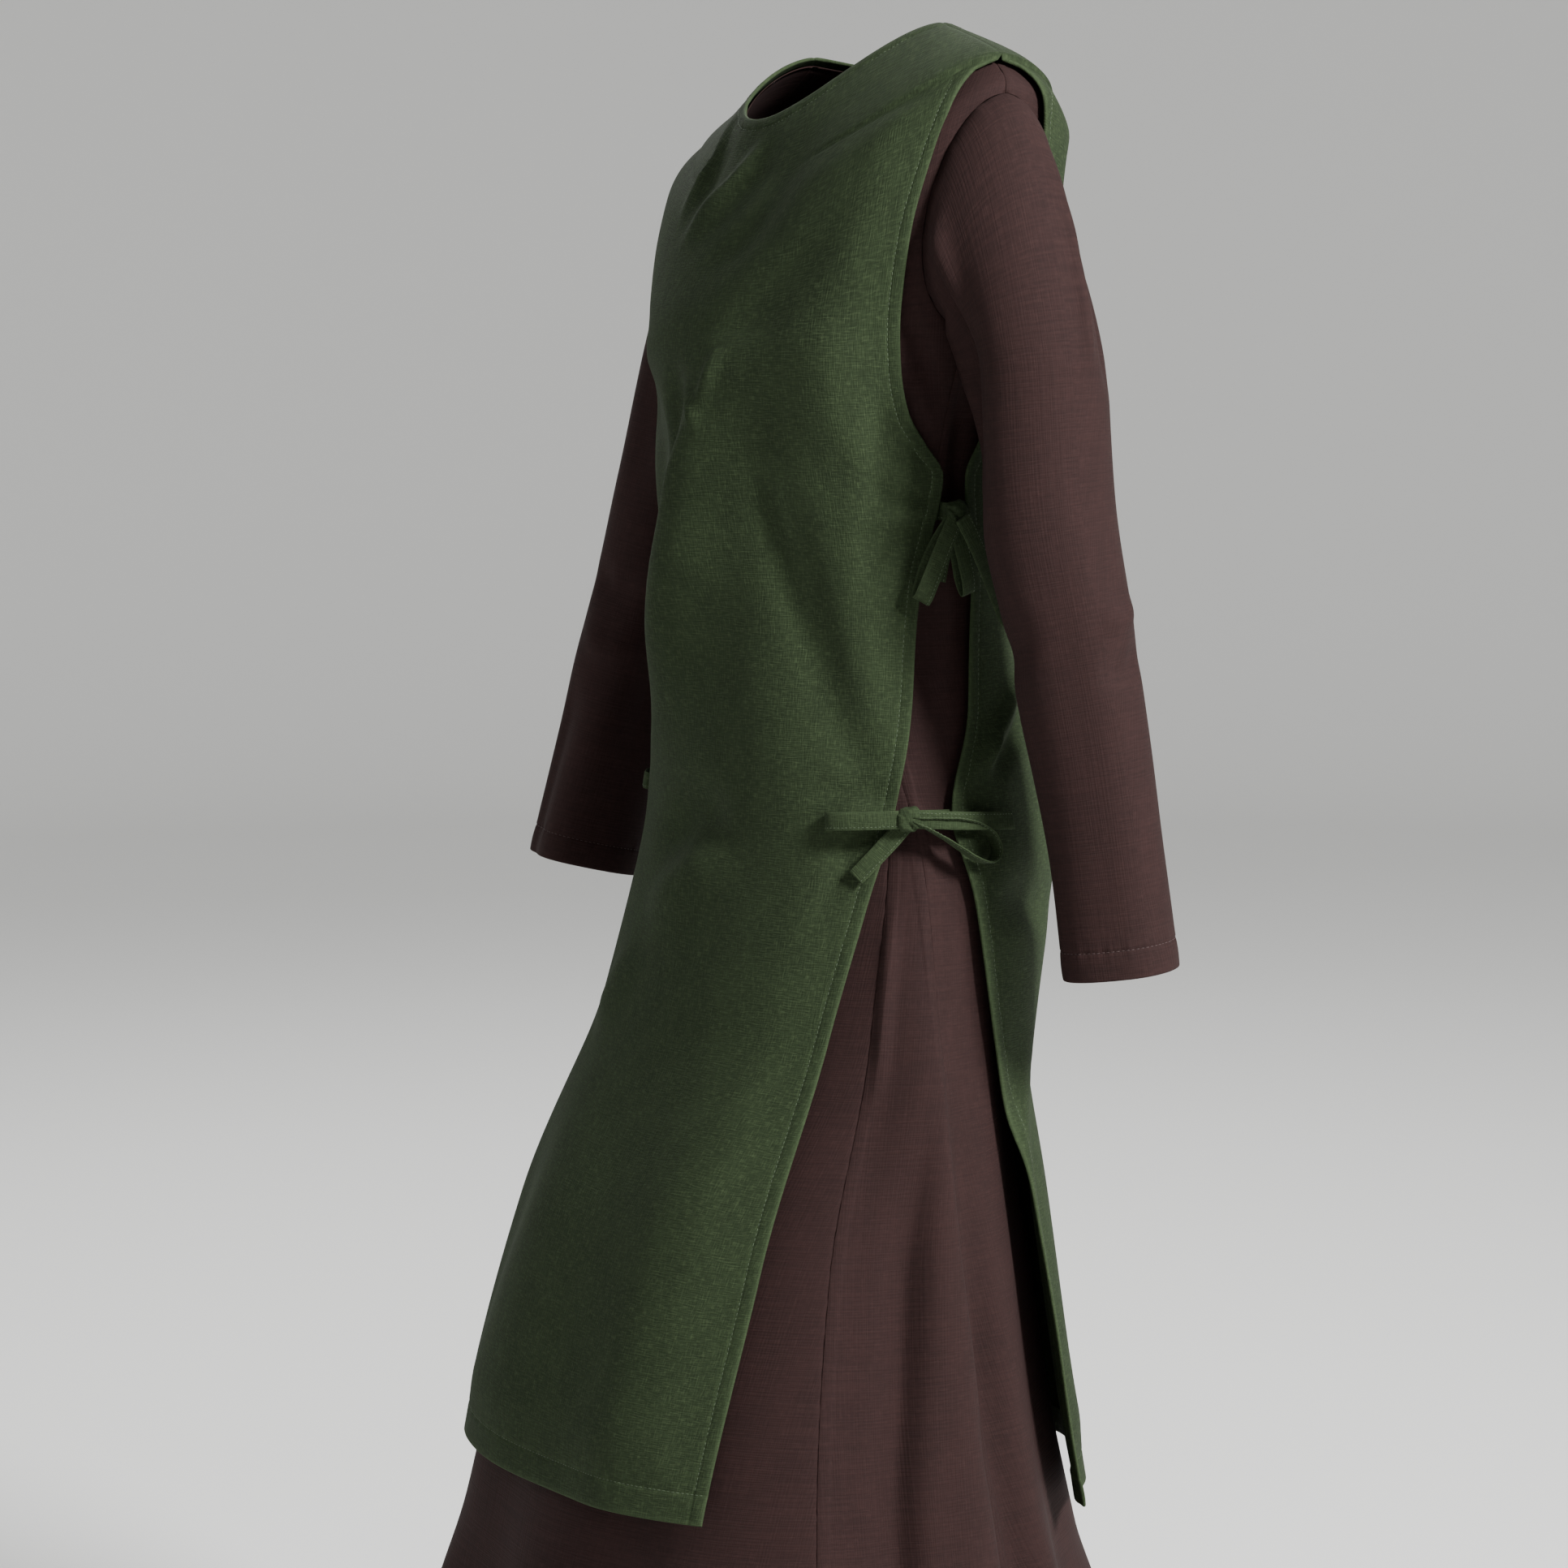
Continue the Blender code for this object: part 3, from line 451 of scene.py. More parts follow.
def make_mesh(name: str, points: np.ndarray, faces: np.ndarray, corner_uv: np.ndarray, edge: np.ndarray,
              material: bpy.types.Material) -> bpy.types.Object:
    """Make a closed mesh with its faces outward, its UV map in metres and its edge attribute.

    Args:
        name: the piece's name.
        points: its points.
        faces: its four-cornered faces.
        corner_uv: a UV place for each corner of each face.
        edge: 0 to 1 at each point, 1 on a worn edge.
        material: its material.

    Returns:
        The object, linked to the scene.
    """
    corner = points[faces]
    volume = np.einsum("ij,ij->i", corner[:, 0], np.cross(corner[:, 1], corner[:, 2])).sum()
    volume += np.einsum("ij,ij->i", corner[:, 0], np.cross(corner[:, 2], corner[:, 3])).sum()
    if volume < 0.0:
        faces = faces[:, ::-1]
        corner_uv = corner_uv[:, ::-1]
    mesh = bpy.data.meshes.new(name)
    mesh.vertices.add(len(points))
    mesh.vertices.foreach_set("co", points.astype(np.float32).ravel())
    mesh.loops.add(faces.size)
    mesh.loops.foreach_set("vertex_index", faces.astype(np.int32).ravel())
    mesh.polygons.add(len(faces))
    mesh.polygons.foreach_set("loop_start", np.arange(0, faces.size, 4, dtype=np.int32))
    mesh.update(calc_edges=True)
    layer = mesh.uv_layers.new(name="cloth")
    layer.data.foreach_set("uv", corner_uv.astype(np.float32).ravel())
    worn = mesh.attributes.new("edge", "FLOAT", "POINT")
    worn.data.foreach_set("value", edge.astype(np.float32).ravel())
    mesh.validate()
    mesh.shade_smooth()
    mesh.materials.append(material)
    item = bpy.data.objects.new(name, mesh)
    bpy.context.scene.collection.objects.link(item)
    return item


def make_wall(name: str, outer: np.ndarray, inner: np.ndarray, uv: np.ndarray, edge: np.ndarray,
              material: bpy.types.Material, closed: bool = False) -> bpy.types.Object:
    """A thin closed wall between two grids of points; closed joins the last column to the first.

    Args:
        name: the piece's name.
        outer: rows and columns of the outer face's points.
        inner: the same for the inner face.
        uv: the cloth's places in metres, with one more column where the rows are closed.
        edge: the edge attribute on the grid.
        material: its material.
        closed: whether the rows are rings.

    Returns:
        The object.
    """
    rows, columns = outer.shape[:2]
    count = rows * columns
    face = np.arange(count).reshape(rows, columns)
    if closed:
        face = np.concatenate([face, face[:, :1]], axis=1)
    place = np.arange(uv.shape[0] * uv.shape[1]).reshape(uv.shape[:2])
    parts = [(face, place), (face[::-1] + count, place[::-1])]
    parts.append((np.stack([face[0] + count, face[0]]), np.stack([place[0], place[0]])))
    parts.append((np.stack([face[-1], face[-1] + count]), np.stack([place[-1], place[-1]])))
    if not closed:
        parts.append((np.stack([face[:, 0] + count, face[:, 0]], axis=1), np.stack([place[:, 0]] * 2, axis=1)))
        parts.append((np.stack([face[:, -1], face[:, -1] + count], axis=1), np.stack([place[:, -1]] * 2, axis=1)))
    faces = np.concatenate([quads(part) for part, _ in parts])
    corners = uv.reshape(-1, 2)[np.concatenate([quads(part) for _, part in parts])]
    points = np.concatenate([outer.reshape(-1, 3), inner.reshape(-1, 3)])
    worn = np.concatenate([edge.ravel(), edge.ravel()])
    return make_mesh(name, points, faces, corners, worn, material)


@dataclass(frozen=True)
class StitchStyle:
    """Sizes of a row of machine stitches."""

    pitch_mm: float = 3.4
    length_mm: float = 2.4
    half_width_mm: float = 0.32
    half_height_mm: float = 0.30


def stitch_parts(points: np.ndarray, normals: np.ndarray, style: StitchStyle) -> tuple[np.ndarray, np.ndarray]:
    """Points and faces of a row of stitches along a line: each is a bead of four six-sided rings.

    A bead's half width at each ring follows a half circle, so its ends dip into the cloth.

    Args:
        points: the line on the cloth.
        normals: the cloth's outward vectors there.
        style: the stitches' sizes.

    Returns:
        Points of all beads and their faces.
    """
    run = np.linalg.norm(np.diff(points, axis=0), axis=1)
    travel = np.concatenate([[0.0], np.cumsum(run)])
    count = max(int(travel[-1] / (style.pitch_mm * MM)), 1)
    middle = (np.arange(count) + 0.5) * travel[-1] / count
    centre = np.stack([np.interp(middle, travel, points[:, k]) for k in range(3)], axis=-1)
    ahead = np.stack([np.interp(middle + 1e-3, travel, points[:, k]) for k in range(3)], axis=-1)
    behind = np.stack([np.interp(middle - 1e-3, travel, points[:, k]) for k in range(3)], axis=-1)
    away = unit(np.stack([np.interp(middle, travel, normals[:, k]) for k in range(3)], axis=-1))
    along = unit(ahead - behind)
    side = unit(np.cross(along, away))
    place = np.array([-1.0, -0.55, 0.55, 1.0])
    swell = np.array([0.25, 0.95, 0.95, 0.25])
    turn = np.linspace(0.0, 2.0 * np.pi, 6, endpoint=False)
    long_way = 0.5 * style.length_mm * MM * place[None, :, None, None] * along[:, None, None, :]
    wide = style.half_width_mm * MM * swell[None, :, None, None] * np.cos(turn)[None, None, :, None]
    high = style.half_height_mm * MM * swell[None, :, None, None] * np.sin(turn)[None, None, :, None]
    dip = -0.35 * MM * (1.0 - swell)[None, :, None, None]
    bead = centre[:, None, None] + long_way + wide * side[:, None, None] + (high + dip) * away[:, None, None]
    grid = np.arange(24).reshape(4, 6)
    grid = np.concatenate([grid, grid[:, :1]], axis=1)
    caps = np.array([[0, 1, 2, 3], [0, 3, 4, 5], [21, 20, 19, 18], [23, 22, 21, 18]])
    single = np.concatenate([quads(grid)[:, ::-1], caps])
    faces = (single[None] + 24 * np.arange(count)[:, None, None]).reshape(-1, 4)
    return bead.reshape(-1, 3), faces


def make_stitches(name: str, rows: list[tuple[np.ndarray, np.ndarray]], style: StitchStyle,
                  material: bpy.types.Material) -> bpy.types.Object:
    """Join rows of stitches into one mesh."""
    points: list[np.ndarray] = []
    faces: list[np.ndarray] = []
    start = 0
    for line, normals in rows:
        part, part_faces = stitch_parts(line, normals, style)
        points.append(part)
        faces.append(part_faces + start)
        start += len(part)
    all_points = np.concatenate(points)
    all_faces = np.concatenate(faces)
    return make_mesh(name, all_points, all_faces, np.zeros(all_faces.shape + (2,)), np.zeros(len(all_points)), material)


def settle(piece: bpy.types.Object, nodes: tuple[str, ...] = ()) -> None:
    """Make a piece ride on the body and hide the CAD nodes that it stands for."""
    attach(piece, BODY_NAME)
    if nodes:
        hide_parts(*nodes)


def even_shares(near_mm: tuple[float, ...], width: np.ndarray, count: int) -> np.ndarray:
    """Shares across each row: given distances from both edges, and even steps between them.

    Args:
        near_mm: distances from an edge, rising from 0.
        width: metres across each row.
        count: number of even steps in the middle.

    Returns:
        Rows of rising shares from 0 to 1.
    """
    near = np.asarray(near_mm) * MM
    scale = np.minimum(1.0, 0.4 * width / near[-1])[:, None]
    first = near[None, :] * scale / width[:, None]
    even = np.linspace(0.0, 1.0, count + 1)[1:-1]
    middle = first[:, -1:] + (1.0 - 2.0 * first[:, -1:]) * even[None, :]
    return np.concatenate([first, middle, (1.0 - first)[:, ::-1]], axis=1)


OVER_EDGES = np.array([
    (0.00, 90.0, 90.0), (2.00, 90.0, 90.0), (2.15, 81.0, 98.0), (2.80, 72.0, 106.0), (3.40, 68.0, 110.0),
    (4.10, 65.5, 113.0), (4.70, 67.0, 113.0), (5.30, 70.0, 110.0), (5.60, 73.5, 106.0), (5.83, 80.0, 100.0),
    (6.04, 86.3, 95.3), (6.80, 79.5, 101.1), (7.75, 75.0, 96.6), (8.90, 66.2, 85.6), (9.40, 59.5, 94.6),
    (10.15, 52.9, 109.5), (10.97, 50.5, 122.5), (12.00, 45.0, 129.0), (12.16, 44.2, 130.0),
])
SIDE_SEAMS = np.array([
    (0.0, 90.0, 90.0), (5.0, 90.0, 90.0), (6.0, 85.0, 85.0), (7.0, 76.0, 76.0), (7.9, 67.5, 67.5),
    (9.0, 64.5, 74.0), (10.0, 64.5, 87.0), (11.4, 64.5, 104.0), (14.0, 64.5, 112.0),
])
CLEARANCES = np.array([
    (0.0, 0.0036, 0.0034, 0.0036), (2.0, 0.0050, 0.0054, 0.0050), (3.0, 0.0070, 0.0065, 0.0070),
    (5.0, 0.0100, 0.0075, 0.0090), (7.0, 0.0140, 0.0085, 0.0110), (9.0, 0.0150, 0.0100, 0.0130),
    (12.2, 0.0130, 0.0120, 0.0140), (14.0, 0.0130, 0.0120, 0.0140),
])
# Columns: angle, angle at the hem, height of the top, depth, spread in degrees.
SKIRT_FURROWS = np.array([
    (-150.0, -156.0, -0.60, 0.022, 11.0), (-103.0, -106.0, -0.55, 0.026, 9.0), (-72.0, -73.0, -0.62, 0.016, 8.0),
    (-38.0, -40.0, -0.75, 0.024, 10.0), (-4.0, -6.0, -0.80, 0.020, 11.0), (28.0, 31.0, -0.75, 0.022, 10.0),
    (71.0, 73.0, -0.64, 0.013, 7.0), (98.0, 110.0, -0.60, 0.022, 6.5), (128.0, 134.0, -0.60, 0.022, 10.0),
    (172.0, 174.0, -0.62, 0.024, 12.0),
])
# Columns: angle at the top and the bottom, level of the top and the bottom, height, spread in degrees.
FRONT_FOLDS = np.array([
    (18.0, -22.0, 4.9, 8.6, 0.011, 13.0), (-20.0, -30.0, 5.0, 7.2, -0.007, 14.0), (34.0, 52.0, 6.2, 9.2, -0.005, 10.0),
])
BACK_FOLDS = np.array([(150.0, 140.0, 7.4, 10.2, 0.012, 16.0), (-150.0, -140.0, 7.4, 10.2, 0.011, 16.0)])


def furrow_depth(angle: np.ndarray, level: np.ndarray) -> np.ndarray:
    """Depth of the skirt's valleys: each a bell across the angle that deepens toward the hem."""
    height = FORM.point(angle, level)[..., 2]
    hem = FORM.rings[-1].side
    total = np.zeros_like(height)
    for start, finish, top, depth, spread in SKIRT_FURROWS:
        share = np.clip((top - height) / (top - hem), 0.0, 1.0)
        line = np.radians(start + (finish - start) * share)
        away = np.angle(np.exp(1j * (angle - line))) / np.radians(spread)
        total = total + depth * share ** 0.9 * np.exp(-away ** 2)
    return total


def fold_height(folds: np.ndarray, angle: np.ndarray, level: np.ndarray) -> np.ndarray:
    """Height of a panel's large folds: each a bell across the angle along a slanting line."""
    total = np.zeros(np.broadcast(angle, level).shape)
    for angle_top, angle_bottom, top, bottom, height, spread in folds:
        share = (level - top) / (bottom - top)
        line = np.radians(angle_top + (angle_bottom - angle_top) * share)
        away = np.angle(np.exp(1j * (angle - line))) / np.radians(spread)
        total = total + height * np.sin(np.pi * np.clip(share, 0.0, 1.0)) ** 0.8 * np.exp(-away ** 2)
    return total


def clearance(angle: np.ndarray, level: np.ndarray) -> np.ndarray:
    """Stand-off of the overgown's outer face, blended from front to side to back by the squared cosine."""
    front, side, back = np.moveaxis(smooth_table(level, CLEARANCES[:, 0], CLEARANCES[:, 1:]), -1, 0)
    cosine = np.cos(angle)
    return side + (np.where(cosine > 0.0, front, back) - side) * cosine ** 2


@dataclass(frozen=True)
class HemStyle:
    """A turned and stitched edge: band width, added thickness, puff and stitch groove, in mm."""

    band_mm: float = 9.0
    extra_mm: float = 0.9
    puff_mm: float = 0.45
    groove_mm: float = 0.55
    pucker_mm: float = 0.35

    def shape(self, distance: np.ndarray, along: np.ndarray, seed: float) -> tuple[np.ndarray, np.ndarray]:
        """Outer rise and added thickness at a distance from the edge.

        The band puffs out as a half wave, the stitch row is a narrow bell sunk in it, and uneven small
        waves along the row pucker the cloth on both sides of it.

        Args:
            distance: metres from the edge.
            along: metres along the edge.
            seed: shifts the puckers.

        Returns:
            Rise of the outer face and added thickness, in metres.
        """
        band = self.band_mm * MM
        inside = np.clip(distance / band, 0.0, 1.0)
        rise = self.puff_mm * MM * np.sin(np.pi * inside)
        rise = rise - self.groove_mm * MM * np.exp(-((distance - band) / (0.9 * MM)) ** 2)
        rise = rise + self.pucker_mm * MM * ripple(along, seed, 0.013) * np.exp(-((distance - band) / (5.0 * MM)) ** 2)
        extra = self.extra_mm * MM * (1.0 - soft_step(distance, band + 0.8 * MM, band + 2.2 * MM))
        return rise, extra


SIDE_HEM = HemStyle()
BOTTOM_HEM = HemStyle(band_mm=20.0, extra_mm=1.0, puff_mm=0.5, groove_mm=0.6, pucker_mm=0.45)
EDGE_NEAR_MM = (0.0, 0.35, 0.9, 1.8, 3.4, 5.2, 7.0, 8.0, 8.6, 9.2, 10.0, 11.2, 13.0)
HEM_NEAR_MM = (0.0, 0.35, 0.9, 2.0, 5.0, 9.0, 13.0, 16.5, 18.8, 19.6, 20.4, 21.4, 23.0, 26.0)


def edge_round(distance: np.ndarray, wall: float) -> np.ndarray:
    """How far each face draws in toward the wall's middle near an edge, along a quarter circle."""
    radius = 0.5 * wall
    inside = np.clip(1.0 - distance / radius, 0.0, 1.0)
    return 0.42 * wall * (1.0 - np.sqrt(1.0 - inside ** 2))


@dataclass
class OverPanel:
    """One panel of the overgown, from the neck to its hem, with hemmed edges."""

    name: str
    back: bool
    hem_level: float
    folds: np.ndarray
    creases: tuple[Crease, ...]
    flat: tuple[float, float]
    area: float
    seed: float
    fullness_mm: float = 5.0
    wall: float = 0.0016
    columns: int = 118
    rows: int = 212
    seam_gap: float = 0.0001

    def edges(self, level: np.ndarray) -> tuple[np.ndarray, np.ndarray]:
        """First and last angle of the panel at each level, in radians."""
        table = np.radians(smooth_table(level, OVER_EDGES[:, 0], OVER_EDGES[:, 1:]))
        gap = np.where(level <= 2.0, 0.5 * self.seam_gap / FORM.values(level)[..., 3], 0.0)
        if self.back:
            first = table[..., 1] + gap
            return first, 2.0 * np.pi - first
        last = table[..., 0] - gap
        return -last, last

    def levels(self) -> np.ndarray:
        """Levels of the rows: close at the neck, the armhole's corner and the hem, even between."""
        per_metre = 1.0 / (FORM.height(self.hem_level - 0.2) - FORM.height(self.hem_level)) * 0.2
        neck = np.array([0.0, 0.012, 0.03, 0.06, 0.11, 0.17, 0.24, 0.30, 0.34, 0.38, 0.44, 0.52, 0.62])
        hem = self.hem_level - np.asarray(HEM_NEAR_MM) * MM * per_metre
        heights = np.linspace(float(FORM.height(0.62)), float(FORM.height(hem[-1])), self.rows - 40)[1:-1]
        even = FORM.level_at(heights)
        upper = np.linspace(0.62, 4.4, 42)[1:]
        middle = np.concatenate([upper, even[even > 4.42]])
        corner = np.array([2.0, 2.03, 2.07, 2.15, 2.22])
        middle = middle[(middle < 1.97) | (middle > 2.25)]
        return np.sort(np.concatenate([neck, middle, corner, hem]))

    def edge_distances(self, angle: np.ndarray, level: np.ndarray) -> tuple[np.ndarray, np.ndarray, np.ndarray]:
        """Metres to the nearer side edge, to the neck and to the hem, each square to its edge."""
        first, last = self.edges(level)
        radius = FORM.radius(level)
        step = 0.02
        low, high = np.maximum(level - step, 0.0), level + step
        run = (self.edges(high)[0] * FORM.radius(high) - self.edges(low)[0] * FORM.radius(low))
        drop = np.maximum(np.abs(FORM.height(high) - FORM.height(low)), 1e-6)
        lean = np.minimum(np.abs(run) / drop, 3.0)
        side = np.minimum(angle - first, last - angle) * radius / np.sqrt(1.0 + lean ** 2)
        side = np.where(level < 2.02, 1.0, side)
        neck = np.linalg.norm(FORM.point(angle, np.full_like(level, 0.5)) - FORM.point(angle, np.zeros_like(level)), axis=-1)
        hem = np.abs(FORM.height(np.full_like(level, self.hem_level)) - FORM.height(level))
        return np.maximum(side, 0.0), level * 2.0 * neck, hem

    def faces(self, angle: np.ndarray, level: np.ndarray) -> tuple[np.ndarray, np.ndarray, np.ndarray]:
        """Outer points, inner points and the edge attribute at given angles and levels."""
        side, neck, hem = self.edge_distances(angle, level)
        across, down = np.radians(np.degrees(angle)) * FORM.radius(level), -FORM.height(level)
        creased = crease_heights(self.creases, across, down, body_flatten)
        base = clearance(angle, level) + fold_height(self.folds, angle, level)
        near_edge = np.minimum(np.minimum(side, neck), hem)
        lift = self.fullness_mm * MM * soft_step(near_edge, 0.004, 0.05) * soft_step(level, 0.6, 3.0)
        room = np.maximum(clearance(angle, level) - 0.0032, 0.0004) + lift
        lowered = np.minimum(base - clearance(angle, level) + creased, 0.0)
        raised = np.maximum(base - clearance(angle, level) + creased, 0.0)
        offset = clearance(angle, level) + lift + raised - room * np.tanh(-lowered / room)
        side_rise, side_extra = SIDE_HEM.shape(side, down, self.seed)
        neck_rise, neck_extra = SIDE_HEM.shape(neck, across, self.seed + 1.0)
        hem_rise, hem_extra = BOTTOM_HEM.shape(hem, across, self.seed + 2.0)
        nearest = near_edge
        draw = edge_round(nearest, self.wall + 0.8 * MM)
        shoulder = soft_step(level, 1.7, 2.1)
        seam = np.minimum(angle - self.edges(level)[0], self.edges(level)[1] - angle) * FORM.radius(level)
        seam_dip = 0.5 * MM * (1.0 - shoulder) * np.exp(-(np.maximum(seam, 0.0) / (1.6 * MM)) ** 2)
        rise = side_rise * shoulder + neck_rise + hem_rise
        extra = np.maximum(np.maximum(side_extra * shoulder, neck_extra), hem_extra)
        outward = FORM.outward(angle, level)
        point = FORM.point(angle, level)
        outer = point + outward * (offset + rise - draw - seam_dip)[..., None]
        inner = point + outward * (offset + 0.3 * rise - self.wall - extra + draw)[..., None]
        worn = np.exp(-(nearest / (2.2 * MM)) ** 2) + 0.5 * np.exp(-((side - 9.0 * MM) / (1.2 * MM)) ** 2) * shoulder
        worn = worn + 0.5 * np.exp(-((hem - 20.0 * MM) / (1.4 * MM)) ** 2)
        return outer, inner, np.clip(worn, 0.0, 1.0)

    def line_on(self, angle: np.ndarray, level: np.ndarray) -> tuple[np.ndarray, np.ndarray]:
        """A line of outer points and their outward vectors."""
        outer = self.faces(angle, level)[0]
        return outer + FORM.outward(angle, level) * 0.10 * MM, FORM.outward(angle, level)

    def stitch_lines(self) -> list[tuple[np.ndarray, np.ndarray]]:
        """The stitch rows: both side edges, the neck and the hem."""
        rows = []
        level = np.linspace(2.20, self.hem_level - 0.13, 900)
        first, last = self.edges(level)
        run = np.gradient(first * FORM.radius(level))
        drop = np.gradient(-FORM.height(level))
        lean = np.sqrt(1.0 + np.minimum(np.abs(run / drop), 3.0) ** 2)
        inset = SIDE_HEM.band_mm * MM * lean / FORM.radius(level)
        for angle in (first + inset, last - inset):
            rows.append(self.line_on(angle, level))
        top_first, top_last = self.edges(np.array([0.3]))
        angle = np.linspace(top_first[0] + 0.01, top_last[0] - 0.01, 240)
        reach = np.linalg.norm(FORM.point(angle, np.full(240, 0.5)) - FORM.point(angle, np.zeros(240)), axis=-1)
        rows.append(self.line_on(angle, 0.5 * SIDE_HEM.band_mm * MM / reach))
        span = self.levels()
        hem_row = span[np.argmin(np.abs(FORM.height(span) - FORM.height(self.hem_level) - BOTTOM_HEM.band_mm * MM))]
        low_first, low_last = self.edges(np.array([hem_row]))
        angle = np.linspace(low_first[0] + 0.012, low_last[0] - 0.012, 400)
        rows.append(self.line_on(angle, np.full(400, hem_row)))
        return rows

    def build(self, cloth: bpy.types.Material, thread: bpy.types.Material) -> list[bpy.types.Object]:
        """Build the panel and its stitches.

        Args:
            cloth: the panel's material.
            thread: the stitches' material.

        Returns:
            The two pieces.
        """
        levels = self.levels()
        first, last = self.edges(levels)
        share = even_shares(EDGE_NEAR_MM, (last - first) * FORM.radius(levels), self.columns)
        angle = first[:, None] + (last - first)[:, None] * share
        level = np.broadcast_to(levels[:, None], angle.shape)
        outer, inner, worn = self.faces(angle, level)
        middle = np.pi if self.back else 0.0
        uv = np.stack([(angle - middle) * FORM.radius(level), -FORM.point(np.full_like(angle, middle), level)[..., 2]], axis=-1)
        panel = make_wall(self.name + "_cloth", outer, inner, uv, worn, cloth)
        settle(panel, (self.name,))
        stitches = make_stitches(self.name + "_stitches", self.stitch_lines(), StitchStyle(), thread)
        settle(stitches)
        return [panel, stitches]


@dataclass
class GownPanel:
    """One body panel or gore of the gown, between two seams, down to the ankle hem."""

    name: str
    side: int
    gore: bool
    back: bool
    creases: tuple[Crease, ...]
    flat: tuple[float, float]
    area: float
    seed: float
    wall: float = 0.0015
    columns: int = 96
    rows: int = 190
    seam_gap: float = 0.0001
    armhole_level: float = 4.0
    armhole_reach: float = 1.0
    armhole_half_angle: float = 21.0
    top_level: float = 0.14
    gore_top: float = 8.2
    hem_level: float = 14.0

    def edges(self, level: np.ndarray) -> tuple[np.ndarray, np.ndarray]:
        """First and last angle at each level: the seams, opened by the armhole's ellipse."""
        table = np.radians(smooth_table(level, SIDE_SEAMS[:, 0], SIDE_SEAMS[:, 1:]))
        gap = 0.5 * self.seam_gap / FORM.values(level)[..., 3]
        share = np.clip((level - self.armhole_level) / self.armhole_reach, -1.0, 1.0)
        opening = np.radians(self.armhole_half_angle) * np.sqrt(1.0 - share ** 2) + gap
        if self.gore:
            first, last = table[..., 0] + gap, table[..., 1] - gap
            return (first, last) if self.side > 0 else (-last, -first)
        if self.back:
            first = table[..., 1] + opening
            return first, 2.0 * np.pi - first
        last = table[..., 0] - opening
        return -last, last

    def levels(self) -> np.ndarray:
        """Levels of the rows: turned evenly round the armhole, even below it, close at the hem."""
        per_metre = 0.2 / (FORM.height(self.hem_level - 0.2) - FORM.height(self.hem_level))
        hem = self.hem_level - np.asarray(HEM_NEAR_MM) * MM * per_metre
        if self.gore:
            heights = np.linspace(float(FORM.height(self.gore_top)), float(FORM.height(hem[-1])), self.rows)[:-1]
            return np.sort(np.concatenate([FORM.level_at(heights), hem]))
        turns = np.linspace(0.0, np.pi, 43)
        armhole = self.armhole_level - self.armhole_reach * np.cos(turns)
        shoulder = np.linspace(self.top_level, armhole[0], 22)[:-1]
        heights = np.linspace(float(FORM.height(5.0)), float(FORM.height(hem[-1])), self.rows - 60)[1:-1]
        return np.sort(np.concatenate([shoulder, armhole, FORM.level_at(heights), hem]))

    def faces(self, angle: np.ndarray, level: np.ndarray) -> tuple[np.ndarray, np.ndarray, np.ndarray]:
        """Outer points, inner points and the edge attribute at given angles and levels."""
        first, last = self.edges(level)
        across = np.angle(np.exp(1j * angle))
        across = np.where(self.back & (across < 0.0), across + 2.0 * np.pi, across) * FORM.radius(level)
        down = -FORM.height(level)
        creased = crease_heights(self.creases, across, down, body_flatten)
        covered = self.cover(angle, level)
        creased = np.where(creased > 0.0, creased * (1.0 - 0.8 * covered), creased)
        offset = creased - furrow_depth(angle, level)
        seam = np.maximum(np.minimum(angle - first, last - angle), 0.0) * FORM.radius(level)
        hem = np.abs(FORM.height(np.full_like(level, self.hem_level)) - FORM.height(level))
        hem_rise, hem_extra = BOTTOM_HEM.shape(hem, across, self.seed)
        allowance = 0.45 * MM * (1.0 - soft_step(seam, 8.0 * MM, 9.5 * MM)) * (1.0 if self.back or self.gore else 0.0)
        dip = 0.4 * MM * np.exp(-(seam / (1.4 * MM)) ** 2)
        pucker = 0.3 * MM * ripple(down, self.seed + 0.7, 0.017) * np.exp(-(seam / (6.0 * MM)) ** 2)
        open_edge = np.minimum(hem, (level - self.top_level) * 0.03 + (1.0 if self.gore else 0.0))
        draw = edge_round(open_edge, self.wall + 1.0 * MM)
        rise = hem_rise + allowance - dip + pucker
        outward = FORM.outward(angle, level)
        point = FORM.point(angle, level)
        outer = point + outward * (offset + rise - draw)[..., None]
        inner = point + outward * (offset + 0.3 * rise - self.wall - hem_extra + draw)[..., None]
        worn = np.exp(-(hem / (2.2 * MM)) ** 2) + 0.4 * np.exp(-(seam / (1.2 * MM)) ** 2)
        return outer, inner, np.clip(worn, 0.0, 1.0)

    def cover(self, angle: np.ndarray, level: np.ndarray) -> np.ndarray:
        """1 where the overgown lies over the gown, falling to 0 some way past its edges."""
        table = np.radians(smooth_table(level, OVER_EDGES[:, 0], OVER_EDGES[:, 1:]))
        around = np.abs(np.angle(np.exp(1j * angle)))
        from_front = (around - table[..., 0]) * FORM.radius(level)
        from_back = (table[..., 1] - around) * FORM.radius(level)
        bare = soft_step(np.minimum(from_front, from_back), -0.004, 0.022)
        return (1.0 - bare) * (1.0 - soft_step(level, 12.05, 12.5))

